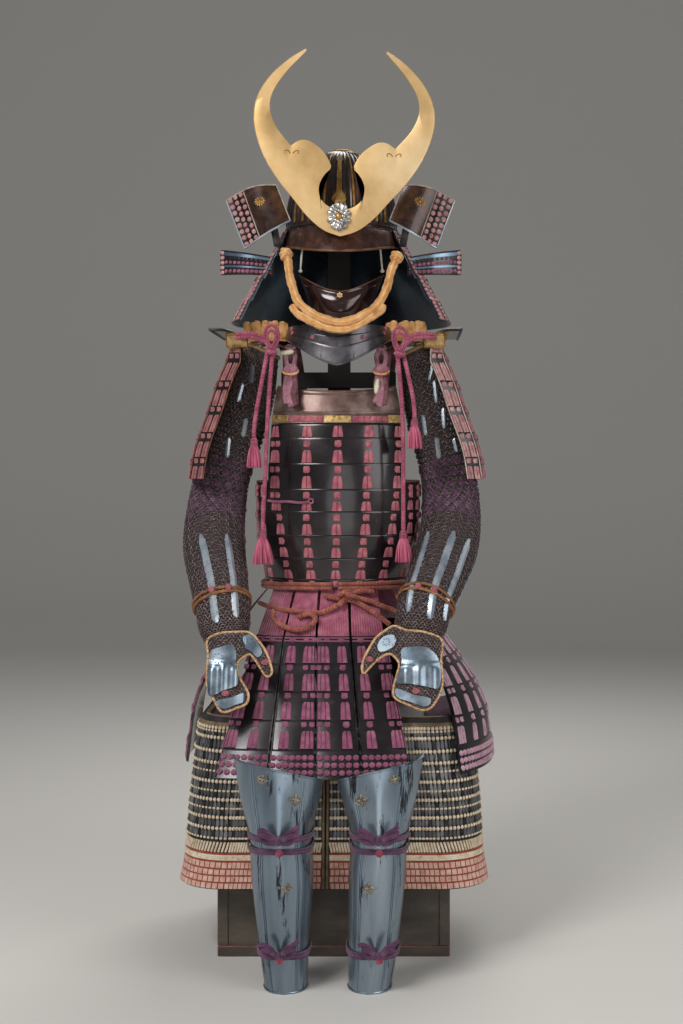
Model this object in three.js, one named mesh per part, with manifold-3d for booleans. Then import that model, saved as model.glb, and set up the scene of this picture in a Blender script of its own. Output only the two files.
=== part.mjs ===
// A samurai armour placed on its lacquered armour box, in millimetres, +Z up.
// The origin is the middle of the box's underside. -Y is the armour's front, +X the viewer's right.
// "left" and "right" in names are the viewer's left and right.
import * as THREE from 'three';
import { mergeVertices } from 'three/addons/utils/BufferGeometryUtils.js';
import Module from 'manifold-3d';

const wasm = await Module();
wasm.setup();

// ---------------------------------------------------------------- driving dimensions
const GAP = 0.3; // between pieces that touch
const BOX = { width: 428, depth: 400, body: 398, lid: 21.7, wall: 14, frame: 20, recess: 3 };
const BOX_TOP = BOX.body + GAP + BOX.lid;
const STAND = { postWidth: 44, postDepth: 34, y: 45, barLength: 226, barZ: 1072, headZ: 1412, headRadius: 58 };
const HELMET = { x: 7, y: -10, z: 1350, halfWidth: 108, halfDepth: 122, height: 164, collar: 14, crownHole: 16, wall: 2.5 };
const CREST = { x: 13, y: -174, z: 1400, tilt: -2, thickness: 2.4 };
const CUIRASS = { wall: 2.6, lip: 2.2, frontAngle: 54, armholeZ: 872 };
const CLOTH = 2.4; // cloth wall
const PLATE = 2.2; // iron or lacquered plate wall
const LIP = 1.8; // how far a lame's upper edge stands proud of the lame above
const CORD = { shoulder: 8, waist: 10, helmet: 17, wrist: 7 };

// The cuirass' plan is an ellipse whose half axes change with height.
const CUIRASS_PLAN = [
  { at: 671, a: 138, b: 127 }, { at: 700, a: 143, b: 129 }, { at: 770, a: 156, b: 135 },
  { at: 860, a: 158, b: 136 }, { at: 930, a: 155, b: 130 }, { at: 983, a: 150, b: 119 },
  { at: 1055, a: 146, b: 101 },
];
const LAME_LINES = [983, 957, 908.5, 860, 818, 773, 730, 689.5, 671]; // edges of the cuirass' lames

// Sleeve centre line for the right arm and its radius; `lean` moves the left arm's elbow outwards.
const SLEEVE = [
  { x: 150, y: 6, z: 1132, r: 34, lean: 0 },
  { x: 160, y: 5, z: 1108, r: 40, lean: 0 }, { x: 174, y: 2, z: 1050, r: 48, lean: 0 },
  { x: 192, y: -2, z: 980, r: 52, lean: 3 }, { x: 215, y: -8, z: 890, r: 52, lean: 10 },
  { x: 221, y: -24, z: 812, r: 55, lean: 16 }, { x: 212, y: -80, z: 748, r: 57, lean: 22 },
  { x: 188, y: -160, z: 688, r: 52, lean: 28 }, { x: 168, y: -206, z: 645, r: 48, lean: 36 },
  { x: 160, y: -222, z: 606, r: 44, lean: 38 },
  { x: 157, y: -234, z: 574, r: 29, lean: 34 },
];

// Skirt panels: how their two edges fall. Rows of an edge are the top of the lacing, the top lame,
// the middle and the hem.
const SKIRT_PANELS = [
  { name: 'skirt_front_1', bow: 3, a: [[-120, -66, 670.6], [-145, -150, 587], [-176, -236, 470], [-205, -318, 353]],
    b: [[-80, -103, 670.6], [-95, -166, 587], [-104, -250, 470], [-114, -330, 353]] },
  { name: 'skirt_front_2', bow: 3, a: [[-74, -106, 670.6], [-92, -167, 587], [-101, -251, 470], [-110, -331, 353]],
    b: [[-33, -122, 670.6], [-35, -172, 587], [-32, -254, 470], [-29, -334, 353]] },
  { name: 'skirt_front_3', bow: 3, a: [[-27, -123, 670.6], [-31, -172, 587], [-28, -254, 470], [-25, -334, 353]],
    b: [[22, -124, 670.6], [28, -172, 587], [41, -254, 470], [54, -333, 353]] },
  { name: 'skirt_front_4', bow: 3, a: [[29, -123, 670.6], [32, -171, 587], [45, -253, 470], [58, -333, 353]],
    b: [[78, -104, 670.6], [92, -163, 587], [117, -244, 470], [142, -322, 353]] },
  { name: 'skirt_right', bow: 34, a: [[104, -82, 670.6], [158, -134, 590], [212, -204, 470], [233, -250, 345]],
    b: [[135, 20, 670.6], [192, 30, 595], [270, 36, 470], [288, 44, 345]] },
  { name: 'skirt_left', bow: 8, a: [[-131, -38, 670.6], [-190, -62, 598], [-262, -88, 470], [-283, -98, 340]],
    b: [[-132, 42, 670.6], [-188, 64, 598], [-266, 86, 470], [-285, 96, 340]] },
  { name: 'skirt_back_1', bow: 6, a: [[-104, 84, 670.6], [-124, 140, 590], [-150, 206, 470], [-172, 240, 345]],
    b: [[-6, 126, 670.6], [-5, 168, 590], [-4, 216, 470], [-3, 248, 345]] },
  { name: 'skirt_back_2', bow: 6, a: [[6, 126, 670.6], [5, 168, 590], [4, 216, 470], [3, 248, 345]],
    b: [[104, 84, 670.6], [124, 140, 590], [150, 206, 470], [172, 240, 345]] },
];
const SKIRT_LAMES = 5;
const EDGE_AT = [-0.34, 0, 0.5, 1]; // where those four rows lie, from the top lame to the hem

// Thigh guard: half width, front reach, corner radius and height, from its inner edge to its hem.
const THIGH = [
  { at: 0, half: 168, front: 132, corner: 50, z: 424 }, { at: 0.1, half: 214, front: 186, corner: 60, z: 428 },
  { at: 0.18, half: 244, front: 214, corner: 70, z: 444 }, { at: 0.25, half: 252, front: 226, corner: 84, z: 424 },
  { at: 0.6, half: 267, front: 240, corner: 84, z: 296 }, { at: 0.86, half: 275, front: 252, corner: 88, z: 190 },
  { at: 1, half: 284, front: 262, corner: 92, z: 140 },
];
const THIGH_SPLIT = -15; // where the two aprons meet in front
const THIGH_END = 150; // how far back their sides reach

// Shin guard: centre line and half width of each height, its front depth, for each leg.
const SHIN_Y = -356; // the open back edges
const SHINS = {
  left: { tieX: -84, rows: [
    { at: 0, x: -75.5, half: 37.5, deep: 54 }, { at: 70, x: -79, half: 43, deep: 58 },
    { at: 195, x: -82, half: 54.5, deep: 66 }, { at: 262, x: -85, half: 54, deep: 64 },
    { at: 330, x: -86, half: 70, deep: 58 }, { at: 402, x: -86, half: 82, deep: 50 }],
    top: { outer: -1, outerZ: 402, dipZ: 391, innerZ: 357 } },
  right: { tieX: 86, rows: [
    { at: 0, x: 70, half: 37.5, deep: 54 }, { at: 70, x: 76, half: 43, deep: 58 },
    { at: 205, x: 84, half: 50, deep: 66 }, { at: 262, x: 86.5, half: 48.5, deep: 64 },
    { at: 330, x: 86, half: 66, deep: 58 }, { at: 402, x: 84, half: 80, deep: 50 }],
    top: { outer: 1, outerZ: 402, dipZ: 391, innerZ: 355 } },
};

// ---------------------------------------------------------------- finishes
const FINISH = {
  lacquer: { color: '#2a2020', roughness: 0.35, metalness: 0.1 },
  russet: { color: '#4a2c22', roughness: 0.4, metalness: 0.2 },
  steel: { color: '#5a6a78', roughness: 0.35, metalness: 0.9 },
  gilt: { color: '#d2ac73', roughness: 0.35, metalness: 0.9 },
  silver: { color: '#b8b4ac', roughness: 0.4, metalness: 0.9 },
  mail: { color: '#4b413e', roughness: 0.8, metalness: 0.3 },
  lacing: { color: '#a55073', roughness: 0.9, metalness: 0 },
  silkCord: { color: '#aa4664', roughness: 0.85, metalness: 0 },
  waistCord: { color: '#964b41', roughness: 0.85, metalness: 0 },
  chinCord: { color: '#dca05a', roughness: 0.85, metalness: 0 },
  tie: { color: '#5f2d55', roughness: 0.9, metalness: 0 },
  splintCloth: { color: '#3c444e', roughness: 0.8, metalness: 0 },
  boxWood: { color: '#3a332c', roughness: 0.55, metalness: 0 },
  standWood: { color: '#15100d', roughness: 0.8, metalness: 0 },
};

const armour = new THREE.Group();

function place(name, geometry, finish, parent = armour) {
  const mesh = new THREE.Mesh(geometry, new THREE.MeshStandardMaterial(FINISH[finish]));
  mesh.name = name;
  parent.add(mesh);
  return mesh;
}

function subgroup(x, y, z, parent = armour) {
  const group = new THREE.Group();
  group.position.set(x, y, z);
  parent.add(group);
  return group;
}

// ---------------------------------------------------------------- numbers
const rad = THREE.MathUtils.degToRad;
const vec = (x, y, z) => new THREE.Vector3(x, y, z);
const mix = THREE.MathUtils.lerp;

function steps(count, from = 0, to = 1) {
  return Array.from({ length: count + 1 }, (_, i) => mix(from, to, i / count));
}

// The value of one column of a table at `at`, on a smooth curve through its rows.
function along(rows, at, column) {
  let i = rows.findIndex((row) => row.at >= at);
  if (i < 0) i = rows.length - 1;
  i = Math.max(i, 1);
  const [p, q] = [rows[i - 1], rows[i]];
  const t = THREE.MathUtils.clamp((at - p.at) / (q.at - p.at), 0, 1);
  const slope = (j) => {
    const [a, b] = [rows[Math.max(j - 1, 0)], rows[Math.min(j + 1, rows.length - 1)]];
    return (b[column] - a[column]) / (b.at - a.at);
  };
  const span = q.at - p.at;
  const [m0, m1] = [slope(i - 1) * span, slope(i) * span];
  return (2 * t ** 3 - 3 * t ** 2 + 1) * p[column] + (t ** 3 - 2 * t ** 2 + t) * m0
    + (3 * t ** 2 - 2 * t ** 3) * q[column] + (t ** 3 - t ** 2) * m1;
}

// ---------------------------------------------------------------- walls, cords and joins
function asSolid(geometry) {
  const bare = geometry.clone();
  bare.deleteAttribute('normal');
  bare.deleteAttribute('uv');
  const merged = mergeVertices(bare, 1e-4);
  return new wasm.Manifold(new wasm.Mesh({
    numProp: 3,
    vertProperties: new Float32Array(merged.attributes.position.array),
    triVerts: new Uint32Array(merged.index.array),
  }));
}

function fromSolid(solid) {
  const mesh = solid.getMesh();
  const geometry = new THREE.BufferGeometry();
  geometry.setAttribute('position', new THREE.BufferAttribute(mesh.vertProperties, 3));
  geometry.setIndex(new THREE.BufferAttribute(mesh.triVerts, 1));
  return geometry;
}

const join = (...pieces) => fromSolid(pieces.map(asSolid).reduce((a, b) => a.add(b)));
const cut = (piece, ...tools) => fromSolid(tools.map(asSolid).reduce((a, b) => a.subtract(b), asSolid(piece)));

// Turns a closed body's faces outwards.
function outward(geometry) {
  const p = geometry.attributes.position;
  const index = geometry.index.array;
  const corner = (i) => vec().fromBufferAttribute(p, index[i]);
  let volume = 0;
  for (let i = 0; i < index.length; i += 3) volume += corner(i).dot(corner(i + 1).cross(corner(i + 2)));
  if (volume < 0) for (let i = 0; i < index.length; i += 3) [index[i], index[i + 1]] = [index[i + 1], index[i]];
  return geometry;
}

// The unit normal of the surface point(u, v).
function normalOf(point, u, v) {
  const e = 0.004;
  const du = point(u + e, v).sub(point(u - e, v));
  const dv = point(u, v + e).sub(point(u, v - e));
  return du.cross(dv).normalize();
}

// A closed wall on the surface point(u, v). Each row is { v, lift }: the face turned away from
// `core`, a place on the hollow side, stands `lift` proud there, and the other face lies `depth`
// below the surface.
function wall({ point, us, rows, depth, core, ring = false }) {
  const [outer, inner] = [[], []];
  const [midU, midV] = [us[us.length >> 1], rows[rows.length >> 1].v];
  const side = Math.sign(normalOf(point, midU, midV).dot(point(midU, midV).sub(core)));
  for (const { v, lift } of rows) {
    for (const u of us) {
      const n = normalOf(point, u, v).multiplyScalar(side);
      outer.push(point(u, v).addScaledVector(n, lift));
      inner.push(point(u, v).addScaledVector(n, -depth));
    }
  }
  const [across, down] = [us.length, rows.length];
  const at = (r, c) => r * across + (c % across);
  const back = outer.length;
  const index = [];
  const quad = (a, b, c, d) => index.push(a, b, c, a, c, d);
  for (let r = 0; r < down - 1; r++) {
    for (let c = 0; c < (ring ? across : across - 1); c++) {
      quad(at(r, c), at(r, c + 1), at(r + 1, c + 1), at(r + 1, c));
      quad(back + at(r, c), back + at(r + 1, c), back + at(r + 1, c + 1), back + at(r, c + 1));
    }
  }
  for (let c = 0; c < (ring ? across : across - 1); c++) {
    quad(at(0, c + 1), at(0, c), back + at(0, c), back + at(0, c + 1));
    quad(at(down - 1, c), at(down - 1, c + 1), back + at(down - 1, c + 1), back + at(down - 1, c));
  }
  if (!ring) {
    for (let r = 0; r < down - 1; r++) {
      quad(at(r, 0), at(r + 1, 0), back + at(r + 1, 0), back + at(r, 0));
      quad(at(r + 1, across - 1), at(r, across - 1), back + at(r, across - 1), back + at(r + 1, across - 1));
    }
  }
  const geometry = new THREE.BufferGeometry();
  const points = outer.concat(inner).flatMap((p) => [p.x, p.y, p.z]);
  geometry.setAttribute('position', new THREE.Float32BufferAttribute(points, 3));
  geometry.setIndex(index);
  return outward(geometry);
}

const plainRows = (vs, lift = 0) => vs.map((v) => ({ v, lift }));

// Rows for laced lames between the given lines: each lame's upper edge stands proud.
function lameRows(lines, lip = LIP, edge = 0.2) {
  const rows = [];
  for (let i = 0; i < lines.length - 1; i++) {
    const step = (lines[i + 1] - lines[i]) * 0.03;
    rows.push({ v: lines[i] + (i ? step : 0), lift: lip }, { v: lines[i + 1], lift: edge });
  }
  return rows;
}

function cord(points, diameter, { sides = 8, count = 24 } = {}) {
  const path = new THREE.CatmullRomCurve3(points.map(([x, y, z]) => vec(x, y, z)), false, 'centripetal');
  const section = new THREE.Shape();
  for (let i = 0; i < sides; i++) {
    const a = (i / sides) * 2 * Math.PI;
    const [x, y] = [Math.cos(a) * diameter / 2, Math.sin(a) * diameter / 2];
    if (i) section.lineTo(x, y);
    else section.moveTo(x, y);
  }
  section.closePath();
  return new THREE.ExtrudeGeometry(section, { steps: count, extrudePath: path, curveSegments: 1 });
}

function block(width, depth, height, x, y, z) {
  return new THREE.BoxGeometry(width, depth, height).translate(x, y, z);
}

function ball(radius, x, y, z, squash = [1, 1, 1], segments = 8) {
  return new THREE.SphereGeometry(radius, segments, Math.max(4, segments - 3)).scale(...squash).translate(x, y, z);
}

// A flat ribbon: a thin wall between two edges that follow points.
function ribbon(points, width, thick, across, count = 5) {
  const path = new THREE.CatmullRomCurve3(points.map(([x, y, z]) => vec(x, y, z)), false, 'centripetal');
  const reach = across.clone().normalize();
  const point = (u, v) => {
    const t = THREE.MathUtils.clamp(v, 0, 1);
    return path.getPoint(t).addScaledVector(path.getTangent(t), (v - t) * 10).addScaledVector(reach, (u - 0.5) * width);
  };
  return wall({ point, us: [0, 1], rows: plainRows(steps(count)), depth: thick, core: vec(0, 0, 0) });
}

// ---------------------------------------------------------------- armour box and inner stand
function armourBox() {
  const { width, depth, body, wall: board, frame, recess } = BOX;
  const shell = block(width, depth, body, 0, 0, body / 2);
  const inside = block(width - 2 * board, depth - 2 * board, body, 0, 0, body / 2 + board);
  const tall = body - 2 * frame;
  const panels = [];
  for (const side of [-1, 1]) {
    panels.push(block(width - 2 * frame, 2 * recess, tall, 0, side * depth / 2, body / 2));
    panels.push(block(2 * recess, depth - 2 * frame, tall, side * width / 2, 0, body / 2));
  }
  place('armour_box', cut(shell, inside, ...panels), 'boxWood');
  place('box_lid', block(width, depth, BOX.lid, 0, 0, body + GAP + BOX.lid / 2), 'boxWood');
}

function innerStand() {
  const { postWidth, postDepth, y, barLength, barZ, headZ, headRadius } = STAND;
  const foot = BOX_TOP + GAP;
  const post = block(postWidth, postDepth, headZ - foot, 0, y, (headZ + foot) / 2);
  const plinth = block(150, 120, 16, 0, y, foot + 8);
  const bar = block(barLength, 40, 30, 0, y - 10, barZ);
  const head = ball(headRadius, HELMET.x, 0, headZ, [1, 1.1, 0.9], 12);
  place('armour_stand', join(post, plinth, bar, head), 'standWood');
}

// ---------------------------------------------------------------- helmet
// Round the bowl and up it: below zero a straight collar, above it the dome.
function dome(u, v) {
  const a = u * 2 * Math.PI;
  const rise = Math.max(v, 0) * rad(82);
  const { halfWidth, halfDepth, height, collar } = HELMET;
  const reach = Math.cos(rise) ** 0.8;
  const z = v < 0 ? collar * (1 + v * 1.8) : collar + (height - collar) * Math.sin(rise);
  return vec(-halfWidth * reach * Math.sin(a), -halfDepth * reach * Math.cos(a), z);
}

function helmetBowl(parent) {
  const bowl = wall({
    point: dome,
    us: steps(20).slice(0, -1),
    rows: plainRows([-1, 0, 0.25, 0.5, 0.74, 1]),
    depth: HELMET.wall,
    core: vec(0, 0, 20),
    ring: true,
  });
  const crown = new THREE.TorusGeometry(HELMET.crownHole + 5, 5, 5, 10).translate(0, 0, HELMET.height - 3);
  const socketFront = CREST.y + CREST.thickness + GAP - HELMET.y;
  const socketBack = -HELMET.halfDepth + 8;
  const socket = block(20, socketBack - socketFront, 26, CREST.x - HELMET.x, (socketBack + socketFront) / 2, 24);
  place('helmet_bowl', join(bowl, crown, socket), 'russet', parent);
}

function helmetVisor(parent) {
  const { halfWidth, halfDepth } = HELMET;
  const point = (u, v) => {
    const a = mix(-74, 74, u);
    const c = Math.cos(rad(a));
    const root = vec((halfWidth + 4) * Math.sin(rad(a)), -(halfDepth + 4) * c, -2 + 8 * c);
    const brim = vec((halfWidth + 7) * Math.sin(rad(a)), -(halfDepth + 42 * c) * c, -23 - 24 * c * c);
    return root.lerp(brim, v).add(vec(0, 0, 14 * Math.sin(Math.PI * v) * c));
  };
  const visor = wall({ point, us: steps(12), rows: plainRows([0, 0.35, 0.7, 1]), depth: PLATE, core: vec(0, -100, -60) });
  place('helmet_visor', visor, 'russet', parent);
}

function crestPlate() {
  const outline = new THREE.Shape();
  const half = [ // x and height of the right half, from the foot up the outer edge to the horn's tip
    { x: 30, z: -60 }, { x: 62, z: -35 }, { x: 87, z: -6 }, { x: 122, z: 35 }, { x: 151, z: 82 },
    { x: 168, z: 139 }, { x: 164, z: 181 }, { x: 143, z: 220 }, { x: 109, z: 254 }, { x: 76, z: 276 },
    { x: 74, z: 272 }, { x: 113, z: 228 }, { x: 135, z: 191 }, { x: 139, z: 163 }, { x: 126, z: 130 },
    { x: 97, z: 95 }, { x: 82, z: 105 }, { x: 66, z: 106 }, { x: 44, z: 93 }, { x: 30, z: 78 },
    { x: 20, z: 58 }, { x: 34, z: 44 }, { x: 43, z: 22 }, { x: 38, z: -2 }, { x: 20, z: -17 },
  ];
  outline.moveTo(0, -70);
  for (const { x, z } of half) outline.lineTo(x, z);
  outline.lineTo(0, -20);
  for (const { x, z } of [...half].reverse()) outline.lineTo(-x, z);
  outline.closePath();
  const plate = new THREE.ExtrudeGeometry(outline, { depth: CREST.thickness, bevelEnabled: false });
  const mesh = place('crest_plate', plate, 'gilt');
  mesh.position.set(CREST.x, CREST.y + CREST.thickness, CREST.z);
  mesh.rotation.set(Math.PI / 2, 0, 0);
  mesh.rotateZ(rad(CREST.tilt));
  const boss = new THREE.CylinderGeometry(26, 20, 7, 8).scale(0.86, 1, 1.2);
  place('crest_boss', boss, 'silver').position.set(8.7, CREST.y - 3.5 - GAP, 1366);
}

// A plate that turns back beside the brow, held to the first lame's end by a tab behind it.
function turnback(side, parent) {
  const corner = { inTop: vec(121, -76, 90), inLow: vec(93, -82, 20), outTop: vec(221, -56, 64), outLow: vec(185, -52, -30) };
  const point = (u, v) => {
    const top = corner.inTop.clone().lerp(corner.outTop, u).add(vec(0, 0, 8 * Math.sin(Math.PI * u)));
    const low = corner.inLow.clone().lerp(corner.outLow, u);
    const p = top.lerp(low, v).add(vec(0, -16 * Math.sin(Math.PI * Math.min(u * 1.15, 1)), 0));
    return vec(side * p.x, p.y, p.z);
  };
  const plate = wall({ point, us: steps(6), rows: plainRows(steps(3)), depth: PLATE, core: vec(0, 0, 0) });
  const tab = ribbon([[side * 128, -86, 22], [side * 124, -80, -4], [side * 120, -71, -26]], 16, 3, vec(1, 0, 0), 2);
  const name = side < 0 ? 'turnback_left' : 'turnback_right';
  place(name, join(plate, tab), 'russet', parent);
}

const NECK = { lames: 4, topZ: 6, lowZ: -170, topHalf: 112, lowHalf: 202, topBack: 126, lowBack: 206, reach: 118, overlap: 6 };

function neckPoint(level, angle, offset) {
  const t = (level - NECK.topZ) / (NECK.lowZ - NECK.topZ);
  const a = rad(angle);
  const [half, back] = [mix(NECK.topHalf, NECK.lowHalf, t) + offset, mix(NECK.topBack, NECK.lowBack, t) + offset];
  return vec(half * Math.sin(a), back * Math.cos(a), level);
}

function neckGuard(parent) {
  const tall = (NECK.topZ - NECK.lowZ) / NECK.lames;
  for (let i = 0; i < NECK.lames; i++) {
    const [top, low] = [NECK.topZ - i * tall, NECK.topZ - (i + 1) * tall - (i < NECK.lames - 1 ? NECK.overlap : 0)];
    const point = (u, v) => neckPoint(mix(top, low, v), mix(-NECK.reach, NECK.reach, u), i * 3.4);
    let lame = wall({ point, us: steps(20), rows: plainRows([0, 1]), depth: 1.6, core: vec(0, 0, 0) });
    if (i === 1) for (const side of [-1, 1]) lame = join(lame, neckWing(side));
    place(`neck_lame_${i + 1}`, lame, 'steel', parent);
  }
}

// The second lame's end, turned outwards like a small wing.
function neckWing(side) {
  const point = (u, v) => {
    const x = mix(128, 232, u);
    const y = -62 + 26 * u - 14 * Math.sin(Math.PI * u);
    const z = mix(mix(-48, -30, u), mix(-82, -78, u), v);
    return vec(side * x, y, z);
  };
  return wall({ point, us: steps(4), rows: plainRows([0, 1]), depth: PLATE, core: vec(0, 0, -50) });
}

function helmetCord() {
  const r = CORD.helmet;
  const first = cord([[-94, -118, 1300], [-99, -128, 1262], [-86, -146, 1224], [-58, -166, 1192], [8, -180, 1180],
    [74, -166, 1192], [99, -146, 1224], [109, -128, 1262], [116, -118, 1294]], r, { sides: 8, count: 18 });
  const second = cord([[-74, -152, 1192], [-52, -168, 1172], [8, -184, 1164], [66, -168, 1172], [88, -152, 1192]], r, { sides: 8, count: 9 });
  const knots = [ball(15, -95, -120, 1305, [1, 0.9, 1.1], 7), ball(15, 117, -120, 1298, [1, 0.9, 1.1], 7)];
  place('helmet_cord', join(first, second, ...knots), 'chinCord');
}

function halfMask() {
  const point = (u, v) => {
    const a = rad(mix(-76, 76, u));
    const s = Math.sin(a);
    const top = 1230 + 43 * s * s;
    const chin = 1184 + 44 * s ** 4;
    const drop = THREE.MathUtils.clamp(v, 0, 1);
    const belly = 8 * Math.sin(Math.PI * drop);
    return vec(8.5 + (84 - 16 * v) * s, -30 - (104 + belly) * Math.cos(a), mix(top, chin, v));
  };
  place('half_mask', wall({ point, us: steps(12), rows: plainRows([0, 0.3, 0.65, 1]), depth: PLATE, core: vec(8, 0, 1220) }), 'russet');
}

function throatGuard() {
  const point = (u, v) => {
    const a = rad(mix(-84, 84, u));
    const [s, c] = [Math.sin(a), Math.cos(a)];
    const top = 1172 - 4 * s * s;
    const low = 1091 + 60 * Math.abs(s) ** 1.4;
    return vec(4.5 + (100 + 6 * v) * s, -28 - (118 + 10 * v) * c ** 0.9, mix(top, low, v));
  };
  const rows = lameRows([0, 0.36, 0.68, 1], 2.4);
  place('throat_guard', wall({ point, us: steps(12), rows, depth: 1.6, core: vec(4, 0, 1140) }), 'lacquer');
}

// ---------------------------------------------------------------- cuirass
function cuirassPoint(angle, z) {
  const a = rad(angle);
  const power = 0.93;
  const [s, c] = [Math.sin(a), Math.cos(a)];
  const half = along(CUIRASS_PLAN, z, 'a');
  const deep = along(CUIRASS_PLAN, z, 'b');
  return vec(half * Math.sign(s) * Math.abs(s) ** power, -deep * Math.sign(c) * Math.abs(c) ** power, z);
}

function cuirassSection(name, from, to, topZ, count) {
  const { wall: depth, lip } = CUIRASS;
  const lines = [topZ, ...LAME_LINES.filter((z) => z < topZ - 4)];
  const point = (u, v) => cuirassPoint(mix(from, to, u), v);
  const rows = lameRows(lines, lip);
  place(name, wall({ point, us: steps(count), rows, depth, core: vec(0, 0, 800) }), 'lacquer');
}

function cuirass() {
  const { frontAngle, armholeZ } = CUIRASS;
  const seam = 0.3;
  cuirassSection('cuirass_front', -frontAngle, frontAngle, LAME_LINES[0], 10);
  cuirassSection('cuirass_right', frontAngle + seam, 180 - frontAngle - seam, armholeZ, 6);
  cuirassSection('cuirass_back', 180 - frontAngle, 180 + frontAngle, LAME_LINES[0] + 40, 10);
  cuirassSection('cuirass_left', 180 + frontAngle + seam, 360 - frontAngle - seam, armholeZ, 6);
  const point = (u, v) => {
    const across = 2 * u - 1;
    const top = 1055 - 11 * (1 - across ** 2);
    const shoulder = 5 * THREE.MathUtils.clamp(v, 0, 1) ** 3;
    return cuirassPoint(across * (frontAngle - shoulder), mix(LAME_LINES[0] + 1, top, v));
  };
  const rows = [{ v: 0, lift: 1.6 }, { v: 0.24, lift: 1.6 }, { v: 0.27, lift: 0.4 }, { v: 0.7, lift: 0.4 }, { v: 1, lift: 1.4 }];
  place('breast_plate', wall({ point, us: steps(10), rows, depth: PLATE, core: vec(0, 0, 1020) }), 'russet');
}

function shoulderStrap(side) {
  const path = [[84, -106, 1022], [87, -98, 1062], [90, -76, 1104], [94, -34, 1132], [96, 20, 1138], [94, 74, 1116], [88, 112, 1062], [84, 124, 1040]];
  const strap = ribbon(path.map(([x, y, z]) => [side * x, y, z]), 38, 4, vec(1, 0, 0));
  const pad = (u, v) => vec(side * mix(84, 158, u), mix(-58, 72, v), 1138 + 22 * Math.sin(Math.PI * 0.62 * u) - 16 * (2 * v - 1) ** 2);
  const frill = wall({ point: pad, us: steps(3), rows: plainRows(steps(3)), depth: 3, core: vec(side * 110, 0, 1000) });
  place(side < 0 ? 'shoulder_strap_left' : 'shoulder_strap_right', join(strap, frill), 'lacquer');
}

// ---------------------------------------------------------------- shoulder guards
const GUARD_FALL = [ // x and z of the right guard's face, from the turned-out top plate to the hem
  { at: 0, x: 240, z: 1162 }, { at: 0.06, x: 216, z: 1160 }, { at: 0.12, x: 199, z: 1146 }, { at: 0.18, x: 206, z: 1124 },
  { at: 0.36, x: 232, z: 1064 }, { at: 0.56, x: 252, z: 1004 }, { at: 0.78, x: 276, z: 936 }, { at: 1, x: 287, z: 878 },
];
const GUARD_DEPTH = { front: -122, back: 140, curl: 16, edge: 22, turn: 0.06 };

function guardPoint(side, u, v) {
  const y = mix(GUARD_DEPTH.front, GUARD_DEPTH.back, u);
  const bend = GUARD_DEPTH.curl * (2 * Math.max(0.5 - u, (u - 0.5) * 0.8)) ** 3;
  const edge = GUARD_DEPTH.edge * Math.max(0, 1 - u / GUARD_DEPTH.turn);
  const curl = (bend + edge) * Math.min(1, Math.max(v, 0) * 4);
  return vec(side * (along(GUARD_FALL, v, 'x') - curl), y, along(GUARD_FALL, v, 'z'));
}

function shoulderGuard(side) {
  const lines = [0.12, 0.2, 0.36, 0.52, 0.68, 0.84, 1];
  const rows = [{ v: 0, lift: 0.4 }, { v: 0.05, lift: 0.4 }, ...lameRows(lines, 2)];
  const us = [0, GUARD_DEPTH.turn, 0.2, 0.5, 0.8, 1];
  const guard = wall({ point: (u, v) => guardPoint(side, u, v), us, rows, depth: 1.8, core: vec(0, 0, 1000) });
  place(side < 0 ? 'shoulder_guard_left' : 'shoulder_guard_right', guard, 'lacquer');
}

// ---------------------------------------------------------------- sleeves and hand guards
function sleevePath(side) {
  const at = (row) => vec(side * (row.x + (side < 0 ? row.lean : 0)), row.y, row.z);
  return new THREE.CatmullRomCurve3(SLEEVE.map(at), false, 'centripetal');
}

function sleevePoint(side, path, u, v) {
  const t = THREE.MathUtils.clamp(v, 0, 1);
  const centre = path.getPoint(t);
  const tangent = path.getTangent(t);
  const out = vec(side, 0, 0).addScaledVector(tangent, -side * tangent.x).normalize();
  const fore = out.clone().cross(tangent).normalize();
  const rows = SLEEVE.map((row, i) => ({ ...row, at: i / (SLEEVE.length - 1) }));
  const r = along(rows, t, 'r');
  const a = u * 2 * Math.PI;
  return centre.addScaledVector(tangent, (v - t) * 100)
    .addScaledVector(out, r * Math.cos(a)).addScaledVector(fore, r * Math.sin(a) * 0.94);
}

function sleeve(side) {
  const path = sleevePath(side);
  const name = side < 0 ? 'sleeve_left' : 'sleeve_right';
  const seam = 0.0005; // half the gap between the two halves, as a part of a turn
  for (const [half, from] of [['outer', -0.25], ['inner', 0.25]]) {
    const point = (u, v) => sleevePoint(side, path, mix(from + seam, from + 0.5 - seam, u), v);
    const core = path.getPoint(0.5);
    place(`${name}_${half}`, wall({ point, us: steps(6), rows: plainRows(steps(14)), depth: CLOTH, core }), 'mail');
  }
  const at = 0.788;
  const centre = path.getPoint(at);
  const ring = new THREE.TorusGeometry(54.6, CORD.wrist / 2, 5, 16);
  const mesh = place(side < 0 ? 'wrist_cord_left' : 'wrist_cord_right', ring, 'waistCord');
  mesh.position.copy(centre);
  mesh.quaternion.setFromUnitVectors(vec(0, 0, 1), path.getTangent(at));
}

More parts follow.
